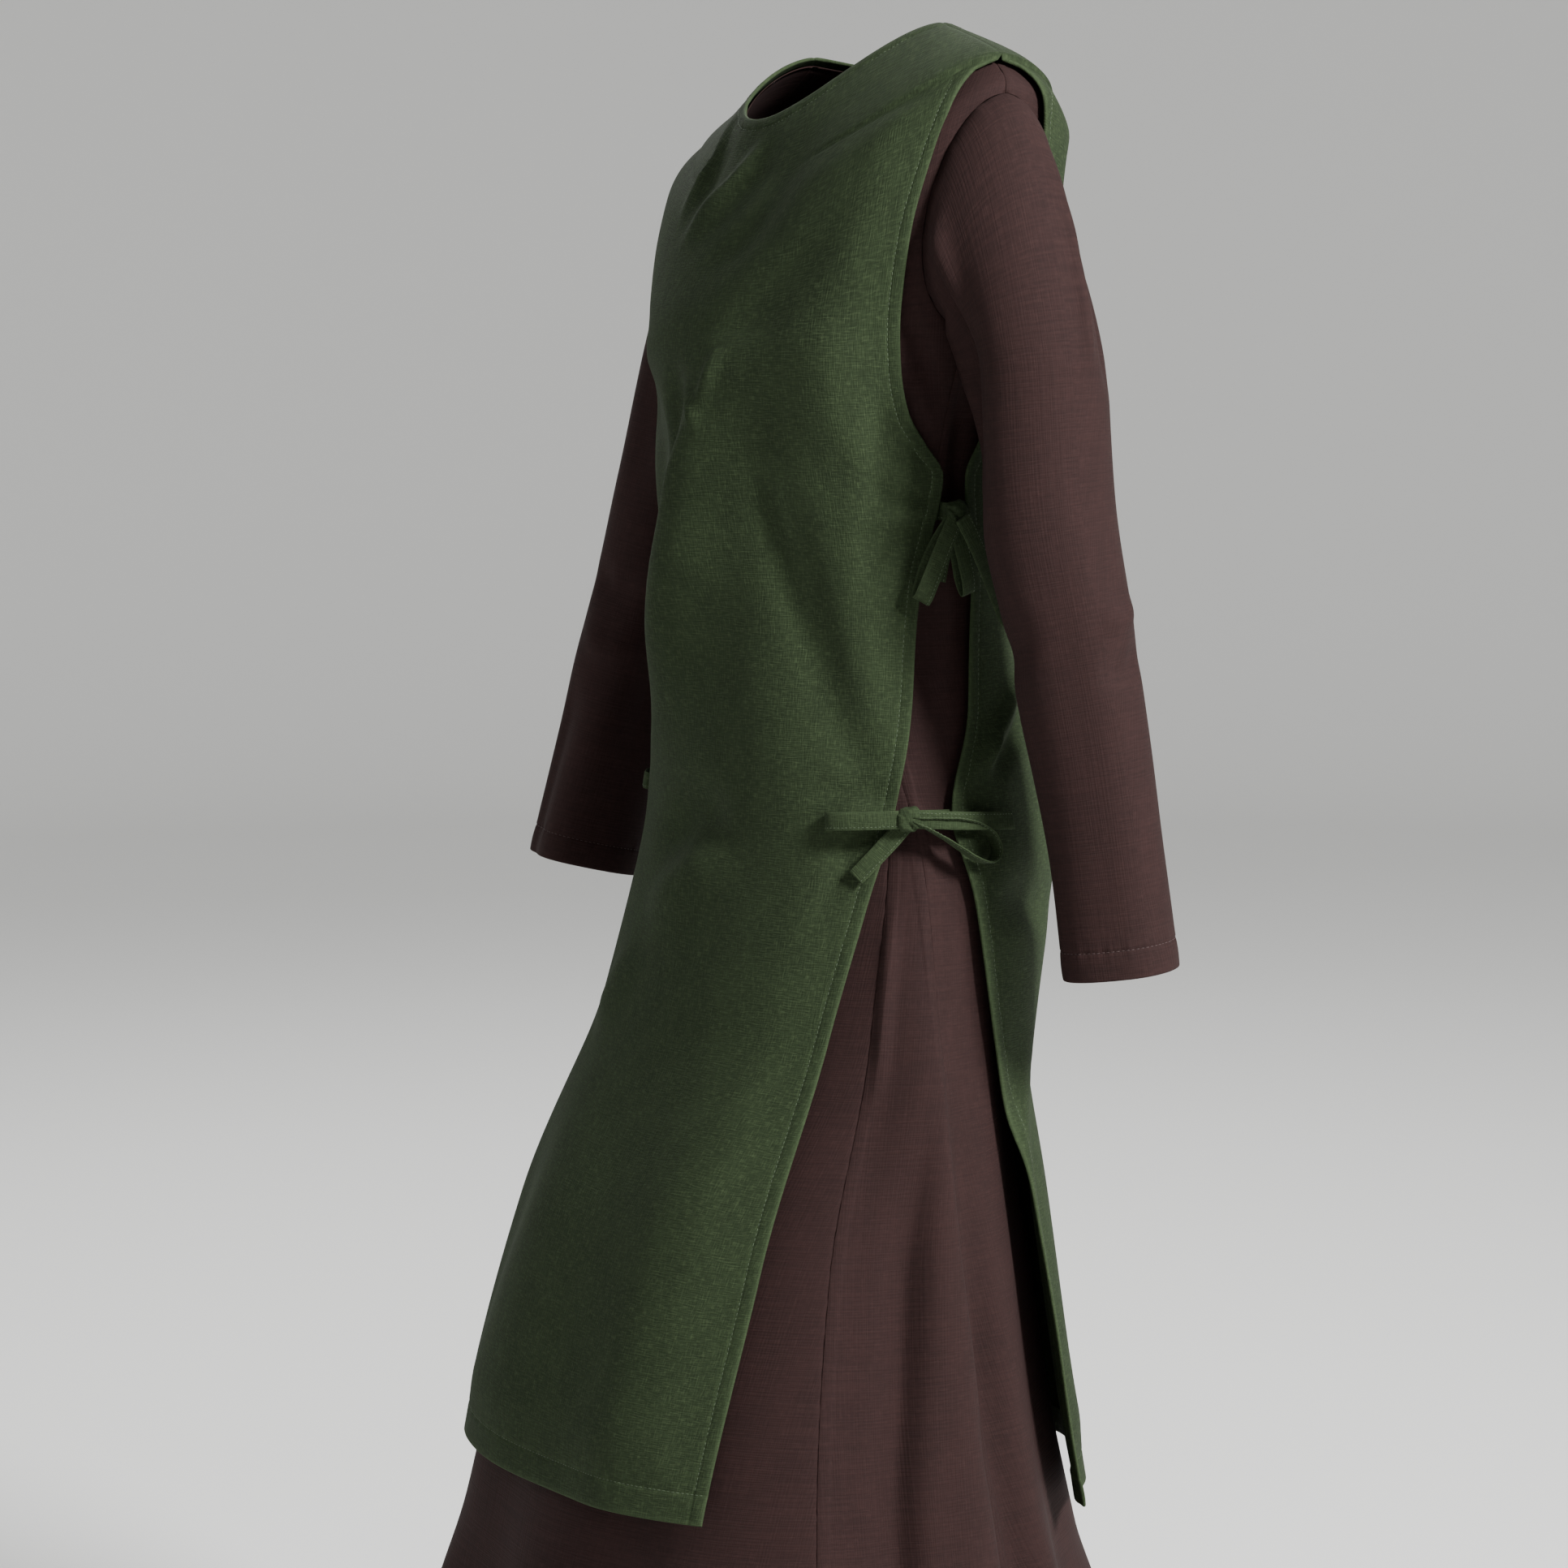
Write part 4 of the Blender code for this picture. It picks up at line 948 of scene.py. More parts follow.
    def build(self, cloth: bpy.types.Material, thread: bpy.types.Material) -> list[bpy.types.Object]:
        """Build the panel and the stitches of its hem.

        Args:
            cloth: the panel's material.
            thread: the stitches' material.

        Returns:
            The two pieces.
        """
        levels = self.levels()
        first, last = self.edges(levels)
        near = (0.0, 0.5, 1.2, 2.2, 4.0, 7.0, 8.2, 9.4, 11.0)
        share = even_shares(near, (last - first) * FORM.radius(levels), self.columns)
        angle = first[:, None] + (last - first)[:, None] * share
        level = np.broadcast_to(levels[:, None], angle.shape)
        outer, inner, worn = self.faces(angle, level)
        middle = np.pi if self.back else (np.radians(88.0) * self.side if self.gore else 0.0)
        uv = np.stack([(angle - middle) * FORM.radius(level), -FORM.point(np.full_like(angle, middle), level)[..., 2]], axis=-1)
        panel = make_wall(self.name + "_cloth", outer, inner, uv, worn, cloth)
        settle(panel, (self.name,))
        hem_row = levels[np.argmin(np.abs(FORM.height(levels) - FORM.height(self.hem_level) - BOTTOM_HEM.band_mm * MM))]
        low_first, low_last = self.edges(np.array([hem_row]))
        line = np.linspace(low_first[0] + 0.003, low_last[0] - 0.003, 500)
        at = np.full(500, hem_row)
        outward = FORM.outward(line, at)
        stitches = make_stitches(self.name + "_stitches", [(self.faces(line, at)[0] + outward * 0.1 * MM, outward)],
                                 StitchStyle(), thread)
        settle(stitches)
        return [panel, stitches]


@dataclass(frozen=True)
class ArmRing:
    """One section of a sleeve: its middle, half width and half depth."""

    x: float
    y: float
    z: float
    half_width: float
    half_depth: float

    def row(self) -> tuple[float, ...]:
        """The section as a row of numbers."""
        return (self.x, self.y, self.z, self.half_width, self.half_depth)


@dataclass
class Sleeve:
    """A long sleeve: a cap that curves out of the armhole, then a tube down the arm to a plain cuff."""

    name: str
    side: int
    arm: tuple[ArmRing, ...]
    creases: tuple[Crease, ...]
    seed: float
    flat: tuple[float, float] = (0.34, 0.64)
    area: float = 0.128
    wall: float = 0.0015
    columns: int = 150
    cap_rows: int = 60
    arm_rows: int = 130
    armhole_level: float = 4.0
    armhole_reach: float = 1.0
    armhole_half_angle: float = 21.0
    inset: float = 0.0004
    cap_outward: float = 0.105
    cap_drop: float = 0.020
    underarm_outward: float = 0.070
    underarm_drop: float = 0.012
    cap_length: float = 0.12

    def head(self, turn: np.ndarray) -> np.ndarray:
        """The armhole's edge drawn in a little: levels follow the cosine and angles the sine of the turn."""
        level = self.armhole_level - self.armhole_reach * np.cos(turn)
        angle = self.side * (np.radians(90.0) - np.radians(self.armhole_half_angle) * np.sin(turn))
        loop = FORM.point(angle, level) - FORM.outward(angle, level) * furrow_depth(angle, level)[..., None]
        return loop + unit(loop.mean(axis=0) - loop) * self.inset

    def arm_values(self, place: np.ndarray) -> np.ndarray:
        """The arm's middle and half sizes at a place counted in sections."""
        return smooth_table(place, np.arange(len(self.arm)), [ring.row() for ring in self.arm])

    def ring(self, place: np.ndarray, turn: np.ndarray) -> np.ndarray:
        """Rings of the tube: half width times cosine across, half depth times sine along, tilted square."""
        x, y, z, half_width, half_depth = np.moveaxis(self.arm_values(place), -1, 0)
        ends = len(self.arm) - 1.0
        above = self.arm_values(np.clip(place - 1.0, 0.0, ends))
        below = self.arm_values(np.clip(place + 1.0, 0.0, ends))
        across = self.side * half_width * np.cos(turn)
        along = -half_depth * np.sin(turn)
        fall = below[..., 2] - above[..., 2]
        lift = -(across * (below[..., 0] - above[..., 0]) + along * (below[..., 1] - above[..., 1])) / fall
        return np.stack([x + across, y + along, z + lift], axis=-1)

    def surface(self, place: np.ndarray, turn: np.ndarray) -> np.ndarray:
        """The bare sleeve: places -1 to 0 are the cap, a cubic from the armhole to the first ring.

        Args:
            place: rows of places, -1 at the armhole, then counted in arm sections.
            turn: radians round the arm, 0 outward and a quarter turn at the front.

        Returns:
            Points of the sleeve.
        """
        share = np.clip(place + 1.0, 0.0, 1.0)[..., None]
        upper = 0.5 * (1.0 + np.cos(turn))
        start = np.stack([
            self.side * (self.underarm_outward + (self.cap_outward - self.underarm_outward) * upper),
            -0.02 * np.sin(turn),
            -self.underarm_drop + (self.underarm_drop - self.cap_drop) * upper], axis=-1)
        first = self.ring(np.zeros_like(place), turn)
        finish = self.ring(np.ones_like(place), turn) - first
        cap = ((1.0 + 2.0 * share) * (1.0 - share) ** 2 * self.head(turn) + share ** 2 * (3.0 - 2.0 * share) * first
               + share * (1.0 - share) ** 2 * start + share ** 2 * (share - 1.0) * finish)
        return np.where((place < 0.0)[..., None], cap, self.ring(np.maximum(place, 0.0), turn))

    def flatten(self, turn: np.ndarray, place: np.ndarray) -> tuple[np.ndarray, np.ndarray]:
        """Metres round and down the sleeve for a turn in degrees and a place."""
        size = self.arm_values(np.maximum(place, 0.0))
        down = np.where(place < 0.0, (place + 1.0) * self.cap_length, self.cap_length + self.arm[0].z - size[..., 2])
        return np.radians(turn) * 0.5 * (size[..., 3] + size[..., 4]), down

    def build(self, cloth: bpy.types.Material, thread: bpy.types.Material) -> list[bpy.types.Object]:
        """Build the sleeve and the stitches of its cuff.

        Args:
            cloth: the sleeve's material.
            thread: the stitches' material.

        Returns:
            The two pieces.
        """
        cuff_run = self.arm[-2].z - self.arm[-1].z
        ends = len(self.arm) - 1.0
        hem_places = ends - np.asarray(HEM_NEAR_MM)[::-1] * MM / cuff_run
        cap = -1.0 + np.linspace(0.0, 1.0, self.cap_rows) ** 1.15
        tube = np.linspace(0.0, hem_places[0], self.arm_rows)[1:-1]
        places = np.concatenate([cap, tube, hem_places])
        turns = np.linspace(0.0, 2.0 * np.pi, self.columns, endpoint=False)
        place, turn = np.meshgrid(places, turns, indexing="ij")
        bare = self.surface(place, turn)
        round_way = np.roll(bare, -1, axis=1) - np.roll(bare, 1, axis=1)
        down_way = np.gradient(bare, axis=0)
        outward = unit(np.cross(down_way, round_way) * -self.side)
        middle = bare.mean(axis=1, keepdims=True)
        outward = outward * np.sign(((bare - middle) * outward).sum(axis=(1, 2), keepdims=True))
        across, down = self.flatten(np.degrees(turn), place)
        circle = 2.0 * np.pi * 0.5 * (self.arm_values(np.maximum(place, 0.0))[..., 3:5].sum(-1))
        raised = sum(crease_heights(self.creases, across + shift * circle, down, self.flatten) for shift in (-1, 0, 1))
        cuff = (ends - place) * cuff_run
        hem_rise, extra = BOTTOM_HEM.shape(cuff, across, self.seed)
        seam = np.abs(np.angle(np.exp(1j * (turn - np.pi)))) * circle / (2.0 * np.pi)
        head = np.maximum(place + 1.0, 0.0) * self.cap_length
        fade = soft_step(head, 0.002, 0.03)
        rise = raised * fade + hem_rise - 0.5 * MM * np.exp(-(seam / (1.4 * MM)) ** 2)
        rise = rise - 0.2 * MM * np.exp(-(head / (1.6 * MM)) ** 2)
        rise = rise + 0.4 * MM * ripple(across, self.seed, 0.021) * np.exp(-(head / 0.012) ** 2)
        draw = edge_round(cuff, self.wall + 1.0 * MM)
        outer = bare + outward * (rise - draw)[..., None]
        inner = bare + outward * (0.3 * rise + 0.7 * raised * fade - self.wall - extra + draw)[..., None]
        worn = np.clip(np.exp(-(cuff / (2.2 * MM)) ** 2) + 0.4 * np.exp(-(seam / (1.0 * MM)) ** 2), 0.0, 1.0)
        last = np.concatenate([across, across[:, :1] + circle[:, :1]], axis=1)
        uv = np.stack([last, np.concatenate([down, down[:, :1]], axis=1)], axis=-1)
        sleeve = make_wall(self.name + "_cloth", outer, inner, uv, worn, cloth, closed=True)
        settle(sleeve, (self.name,))
        row = int(np.argmin(np.abs(cuff[:, 0] - BOTTOM_HEM.band_mm * MM)))
        ring = np.concatenate([outer[row], outer[row, :1]]) + 0.1 * MM * np.concatenate([outward[row], outward[row, :1]])
        normals = np.concatenate([outward[row], outward[row, :1]])
        stitches = make_stitches(self.name + "_stitches", [(ring, normals)], StitchStyle(), thread)
        settle(stitches)
        return [sleeve, stitches]


@dataclass(frozen=True)
class Tape:
    """One loop or tail of a bow. The direction turns from forward (0) through down (90) to back (180)."""

    loop: bool
    direction: float
    reach: float
    belly: float
    sag: float
    on_edge: float
    stand: float
    twist: float = 0.0


UPPER_TAPES = (
    Tape(True, 60.0, 0.044, 0.0060, 0.020, 0.0, 0.0115, 14.0),
    Tape(True, 104.0, 0.056, 0.0032, 0.000, 0.0, 0.0065, -8.0),
    Tape(False, 78.0, 0.046, 0.0, 0.000, 0.0, 0.0045, 8.0),
    Tape(False, 120.0, 0.084, 0.0, 0.004, 0.0, 0.0165, 14.0),
)
LOWER_TAPES = (
    Tape(True, 2.0, 0.051, 0.0048, 0.000, 0.0, 0.0082, 6.0),
    Tape(True, 166.0, 0.064, 0.0100, 0.010, 90.0, 0.0085, 0.0),
    Tape(False, 46.0, 0.050, 0.0, 0.003, 0.0, 0.0036, 2.0),
    Tape(False, 176.0, 0.076, 0.0, 0.000, 0.0, 0.0115, -8.0),
)


@dataclass
class Bow:
    """A tied pair of tapes: two straps from the panels, a knot, two loops and two tails."""

    name: str
    side: int
    angle: float
    height: float
    tapes: tuple[Tape, ...]
    seed: float
    width: float = 0.0125
    wall: float = 0.0017
    knot_along: float = 0.0068
    knot_up: float = 0.0092
    knot_out: float = 0.0066
    knot_stand: float = 0.0080
    start: float = 0.0020
    lap: float = 0.010
    under_gap: float = 0.0012
    over_wall: float = 0.0020
    strap_stand: float = 0.0050
    stations: int = 64
    profile: int = 9

    def point(self, along: np.ndarray, drop: np.ndarray, raised: np.ndarray) -> np.ndarray:
        """Points near the bow: forward along the cloth, down, and raised over the overgown's face."""
        level = FORM.level_at(self.height - drop)
        angle = np.radians(self.angle) - along / FORM.radius(level)
        point = FORM.point(angle, level) + FORM.outward(angle, level) * (clearance(angle, level) + raised)[..., None]
        return point * np.array([self.side, 1.0, 1.0])

    def axes(self, along: np.ndarray, drop: np.ndarray, raised: np.ndarray) -> list[np.ndarray]:
        """Unit vectors forward, down and outward at each point."""
        step = 1e-4
        here = self.point(along, drop, raised)
        return [unit(self.point(along + step, drop, raised) - here), unit(self.point(along, drop + step, raised) - here),
                unit(self.point(along, drop, raised + step) - here)]

    def strip(self, points: np.ndarray, across: np.ndarray, seed: float) -> tuple[np.ndarray, np.ndarray, np.ndarray, np.ndarray]:
        """Grids of a tape's two faces: a flat bar with round edges that dips along its stitch row.

        Args:
            points: the middle line.
            across: vectors across the width.
            seed: shifts the tape's small waves.

        Returns:
            Outer grid, inner grid, UV grid and the stitch line's points with their outward vectors.
        """
        along = unit(np.gradient(points, axis=0))
        across = unit(across - along * (along * across).sum(-1, keepdims=True))
        through = np.cross(along, across)
        place = np.sin(np.linspace(-0.5 * np.pi, 0.5 * np.pi, self.profile))
        travel = np.concatenate([[0.0], np.cumsum(np.linalg.norm(np.diff(points, axis=0), axis=1))])
        thick = 0.5 * self.wall * np.sqrt(np.clip(1.0 - np.abs(place) ** 6, 0.04, 1.0))
        dip = 0.22 * MM * np.exp(-((place - 0.62) / 0.16) ** 2)
        wave = 0.25 * MM * ripple(travel, seed, 0.014)[:, None] * np.abs(place)[None, :] ** 2
        wide = across[:, None] * (0.5 * self.width * place)[None, :, None]
        outer = points[:, None] + wide + through[:, None] * ((thick - dip)[None] + wave)[..., None]
        inner = points[:, None] + wide - through[:, None] * ((thick - dip)[None] - wave)[..., None]
        uv = np.stack(np.broadcast_arrays(0.5 * self.width * place[None, :], travel[:, None] + seed), axis=-1)
        middle = int(np.argmin(np.abs(place - 0.62)))
        return outer, inner, uv, np.stack([outer[:, middle] + 0.05 * MM * through, through, inner[:, middle] - 0.05 * MM * through, -through])

    def course(self, tape: Tape) -> tuple[np.ndarray, np.ndarray]:
        """Middle line and width vectors of a loop or a tail.

        A loop's reach follows a half wave and its belly a whole one; a tail runs straight and sags with
        the square of its length. The twist turns the width about the line as the square of the length.
        """
        share = np.linspace(0.0, 1.0, self.stations)
        if tape.loop:
            out = np.sin(np.pi * share) ** 0.8
            reach = self.start + tape.reach * out
            apart = tape.belly * np.sin(2.0 * np.pi * share) + 0.75 * self.wall * np.cos(np.pi * share)
            sag = tape.sag * np.sin(np.pi * share) ** 2
        else:
            out = share
            reach = self.start + tape.reach * share
            apart = 0.6 * MM * np.sin(2.0 * np.pi * share + self.seed)
            sag = tape.sag * share ** 2
        direction = np.radians(tape.direction)
        roll = np.radians(tape.on_edge + tape.twist * out ** 2)
        lean = np.radians(tape.on_edge)
        along = reach * np.cos(direction) - apart * np.sin(lean) * np.sin(direction)
        drop = reach * np.sin(direction) + apart * np.sin(lean) * np.cos(direction) + sag
        raised = tape.stand + apart * np.cos(lean)
        forward, down, away = self.axes(along, drop, raised)
        flat = down * np.cos(direction) - forward * np.sin(direction)
        across = np.cos(roll)[:, None] * flat + np.sin(roll)[:, None] * away
        return self.point(along, drop, raised), across

    def strap(self, edge_along: float, way: float) -> tuple[np.ndarray, np.ndarray]:
        """Middle line and width vectors of the stretch from under a panel's edge to the knot."""
        share = np.linspace(0.0, 1.0, self.stations)
        stop = way * self.start
        along = edge_along + way * self.lap + (stop - edge_along - way * self.lap) * share
        beyond = ((edge_along - along) * way - 0.002) / (abs(edge_along - stop) - 0.002)
        under = -self.over_wall - self.under_gap - 0.5 * self.wall
        raised = under + (self.strap_stand - under) * soft_step(beyond, 0.0, 1.0)
        drop = np.zeros_like(along)
        return self.point(along, drop, raised), self.axes(along, drop, raised)[1]

    def knot(self) -> tuple[np.ndarray, np.ndarray]:
        """The knot: a wound pillow whose radius is cut by slanting folds and a lap where the tape crosses.

        Its half size along falls as the fourth power toward both ends; the wrap's edge is a step that
        climbs round it, and small folds gather toward the middle.

        Returns:
            Points and four-cornered faces.
        """
        rows, columns = 22, 48
        place = np.sin(np.linspace(-0.5 * np.pi, 0.5 * np.pi, rows))
        turn = np.linspace(0.0, 2.0 * np.pi, columns, endpoint=False)
        s, t = np.meshgrid(place[1:-1], turn, indexing="ij")
        pinch = 0.55 + 0.45 * np.sqrt(np.clip(1.0 - np.abs(s) ** 3.0, 0.0, 1.0))
        folds = 0.05 * np.sin(3.0 * t + 4.0 * s + self.seed) + 0.035 * np.sin(7.0 * t - 5.0 * s + 2.0 * self.seed)
        lap = -0.16 * np.exp(-((np.angle(np.exp(1j * (t - 1.1 - 1.3 * s)))) / 0.20) ** 2)
        size = pinch * (1.0 + folds + lap) * (1.0 + 0.12 * s * np.cos(t))
        squash = 1.0 - 0.10 * np.cos(2.0 * t)
        along = self.knot_along * s * (1.0 + 0.10 * np.sin(t))
        drop = self.knot_up * size * squash * np.cos(t)
        raised = self.knot_stand + self.knot_out * size * np.sin(t)
        skin = self.point(along, drop, raised)
        index = np.arange(skin.shape[0] * columns).reshape(skin.shape[:2])
        near = np.arange(columns // 2 - 1)
        cap = np.stack([near, near + 1, columns - 2 - near, columns - 1 - near], axis=-1)
        sides = quads(np.concatenate([index, index[:, :1]], axis=1))
        return skin.reshape(-1, 3), np.concatenate([sides, cap[:, ::-1], cap + index[-1, 0]])

    def build(self, cloth: bpy.types.Material, thread: bpy.types.Material) -> list[bpy.types.Object]:
        """Build the bow's tapes and knot, and its stitches.

        Args:
            cloth: the tapes' material.
            thread: the stitches' material.

        Returns:
            The pieces.
        """
        level = FORM.level_at(np.array([self.height]))
        edges = np.radians(smooth_table(level, OVER_EDGES[:, 0], OVER_EDGES[:, 1:]))[0]
        radius = float(FORM.radius(level)[0])
        courses = [self.strap((np.radians(self.angle) - edges[0]) * radius, 1.0),
                   self.strap((np.radians(self.angle) - edges[1]) * radius, -1.0)]
        courses += [self.course(tape) for tape in self.tapes]
        meshes = []
        rows = []
        for number, (points, across) in enumerate(courses):
            outer, inner, uv, line = self.strip(points, across, self.seed + 0.37 * number)
            meshes.append(make_wall(f"{self.name}_{number}", outer, inner, uv, self.worn(outer.shape[:2]), cloth))
            rows += [(line[0], line[1]), (line[2], line[3])]
        points, faces = self.knot()
        corner = np.stack([points[faces][..., 1] * 1.3, points[faces][..., 2]], axis=-1)
        meshes.append(make_mesh(self.name + "_knot", points, faces, corner, np.full(len(points), 0.2), cloth))
        bow = join_pieces(self.name + "_tape", meshes)
        settle(bow, (self.name,))
        stitches = make_stitches(self.name + "_stitches", rows, StitchStyle(2.8, 1.9, 0.26, 0.24), thread)
        settle(stitches)
        return [bow, stitches]

    def worn(self, shape: tuple[int, int]) -> np.ndarray:
        """Edge attribute of a tape: 0.35 across its width, rising to 1 on both long edges."""
        place = np.abs(np.sin(np.linspace(-0.5 * np.pi, 0.5 * np.pi, shape[1])))
        return np.broadcast_to(0.35 + 0.65 * place[None, :] ** 8, shape).copy()


def join_pieces(name: str, items: list[bpy.types.Object]) -> bpy.types.Object:
    """Join objects into the first one and rename it."""
    with bpy.context.temp_override(active_object=items[0], selected_objects=items, selected_editable_objects=items):
        bpy.ops.object.join()
    items[0].name = name
    items[0].data.name = name
    return items[0]


FRONT_CREASES = (
    Crease(((-41.5, 0.25), (-21.0, 1.53), (-18.5, 3.28)), 5.4, 6.0, 6.0),
    Crease(((-36.0, 0.4), (-15.0, 1.7), (-12.0, 3.5)), -4.4, 8.0, 11.0),
    Crease(((10.2, 0.8), (-0.8, 2.26), (-14.0, 3.67)), 5.8, 6.0, 7.0),
    Crease(((17.0, 0.9), (6.0, 2.4), (-6.0, 3.8)), -5.1, 8.0, 13.0),
    Crease(((27.0, 0.9), (16.8, 3.14), (2.8, 4.1)), -6.8, 16.0, 20.0),
    Crease(((52.0, 3.4), (34.2, 4.12), (26.0, 4.72), (21.2, 5.36)), -8.5, 22.0, 26.0),
    Crease(((3.5, 5.36), (11.2, 5.57), (13.5, 5.75)), 5.1, 4.0, 4.5),
    Crease(((18.2, 5.05), (16.0, 5.30), (12.5, 5.66)), 5.4, 5.0, 5.0),
    Crease(((16.0, 5.30), (8.0, 5.80), (1.0, 6.30), (-10.0, 7.1), (-20.0, 8.0)), 12.0, 9.0, 34.0),
    Crease(((4.0, 5.15), (-3.0, 5.60), (-9.0, 6.15), (-17.0, 6.9)), -14.0, 13.0, 12.0),
    Crease(((-52.0, 5.2), (-32.0, 5.7), (-16.0, 6.15)), -14.0, 26.0, 26.0),
    Crease(((19.8, 6.12), (-0.8, 6.87), (-21.5, 8.3)), 7.6, 22.0, 30.0),
    Crease(((24.0, 5.45), (34.2, 6.39), (43.5, 7.14), (55.5, 8.20), (63.0, 8.65)), -10.2, 13.0, 17.0, 0.0, 0.4),
    Crease(((29.0, 5.8), (38.0, 6.6), (47.0, 7.3)), 4.4, 8.0, 10.0),
    Crease(((46.0, 4.6), (50.0, 5.4), (54.0, 6.1)), 6.0, 28.0, 24.0),
    Crease(((64.5, 5.42), (66.2, 5.88), (59.5, 6.9)), -4.4, 9.0, 12.0),
    Crease(((82.0, 6.33), (70.0, 6.45), (58.0, 6.78)), -4.1, 5.0, 5.5, 0.6),
    Crease(((81.0, 6.20), (70.0, 6.18), (60.0, 6.05)), -3.4, 5.0, 6.0, 0.6),
    Crease(((80.0, 6.28), (68.0, 6.31), (57.0, 6.38)), 3.1, 5.0, 5.0, 0.6),
    Crease(((82.0, 6.42), (75.0, 6.7), (68.0, 7.2)), -3.1, 4.5, 5.0, 0.6),
    Crease(((22.0, 8.85), (4.2, 8.95), (-14.5, 9.36)), -9.3, 16.0, 18.0),
    Crease(((19.0, 9.07), (4.0, 9.35), (-14.0, 9.62)), 8.5, 16.0, 24.0),
    Crease(((-11.0, 9.7), (-20.0, 9.95), (-27.0, 10.25)), 6.8, 16.0, 22.0),
    Crease(((2.0, 10.0), (8.0, 11.0), (11.0, 12.0)), -7.6, 42.0, 42.0, 0.0, 1.0),
    Crease(((34.0, 9.9), (31.0, 11.0), (28.0, 12.0)), 6.0, 32.0, 40.0, 0.0, 1.0),
    Crease(((-24.0, 10.4), (-29.0, 11.2), (-33.0, 12.0)), -6.8, 30.0, 30.0, 0.0, 1.0),
    Crease(((66.0, 8.86), (56.0, 9.05), (45.0, 9.55)), -4.8, 8.0, 8.0, 0.7),
    Crease(((66.0, 8.72), (55.0, 8.62), (41.0, 8.6)), -3.7, 7.0, 8.0, 0.7),
    Crease(((66.0, 8.79), (54.0, 8.84), (42.0, 9.0)), 3.4, 6.0, 6.0, 0.7),
    Crease(((-26.0, 5.6), (-42.0, 7.1), (-63.0, 8.6)), -7.6, 14.0, 18.0, 0.0, 0.4),
    Crease(((-52.0, 3.7), (-38.0, 4.6), (-28.0, 5.2)), -6.1, 22.0, 20.0),
    Crease(((-82.0, 6.3), (-70.0, 6.4), (-57.0, 6.9)), -3.7, 5.0, 6.0, 0.6),
    Crease(((-66.0, 8.85), (-54.0, 9.1), (-44.0, 9.6)), -4.4, 8.0, 8.0, 0.7),
    Crease(((-66.0, 8.7), (-55.0, 8.6), (-40.0, 8.45)), -3.4, 7.0, 8.0, 0.7),
    Crease(((-60.0, 5.2), (-56.0, 6.1), (-52.0, 7.0)), 5.1, 26.0, 24.0),
)
BACK_CREASES = (
    Crease(((126.0, 7.5), (108.0, 8.0), (94.0, 8.45)), 6.2, 5.0, 7.0, 0.0, 0.3),
    Crease(((130.0, 7.75), (113.0, 8.2), (99.0, 8.6)), -5.9, 7.0, 9.0),
    Crease(((106.0, 8.0), (102.5, 8.25), (100.0, 8.55)), 4.3, 4.0, 5.0),
    Crease(((143.0, 9.55), (122.0, 9.42), (100.0, 9.3)), -8.7, 14.0, 16.0),
    Crease(((128.0, 9.9), (119.0, 10.6), (125.0, 11.5), (127.0, 12.16)), 8.7, 14.0, 18.0, 0.0, 0.7),
    Crease(((139.0, 10.0), (135.0, 11.0), (137.0, 12.16)), -8.7, 18.0, 20.0, 0.0, 1.0),
    Crease(((160.0, 9.5), (165.0, 11.0), (168.0, 12.16)), 9.8, 30.0, 30.0, 0.0, 1.0),
    Crease(((186.0, 9.7), (190.0, 11.0), (193.0, 12.16)), -9.8, 26.0, 30.0, 0.0, 1.0),
    Crease(((214.0, 9.6), (211.0, 11.0), (207.0, 12.16)), 8.7, 26.0, 28.0, 0.0, 1.0),
    Crease(((236.0, 9.8), (233.0, 11.0), (231.0, 12.16)), -7.8, 18.0, 20.0, 0.0, 1.0),
    Crease(((128.0, 2.7), (150.0, 4.5), (166.0, 6.1)), -6.9, 20.0, 24.0),
    Crease(((232.0, 2.9), (211.0, 4.6), (196.0, 6.3)), -6.2, 22.0, 20.0),
    Crease(((112.0, 6.15), (131.0, 6.6), (152.0, 7.3)), -5.1, 8.0, 9.0, 0.4),
    Crease(((249.0, 6.15), (230.0, 6.7), (210.0, 7.4)), -4.7, 8.0, 9.0, 0.4),
    Crease(((180.0, 6.2), (181.0, 7.2), (179.0, 8.2)), -8.7, 40.0, 40.0),
    Crease(((152.0, 0.4), (164.0, 1.7), (173.0, 3.3)), 4.3, 8.0, 10.0),
    Crease(((210.0, 0.4), (197.0, 1.8), (189.0, 3.1)), 3.9, 8.0, 10.0),
    Crease(((150.0, 8.0), (158.0, 8.6), (170.0, 8.9)), 5.9, 12.0, 14.0),
    Crease(((214.0, 7.8), (203.0, 8.5), (192.0, 8.8)), 5.9, 12.0, 13.0),
)
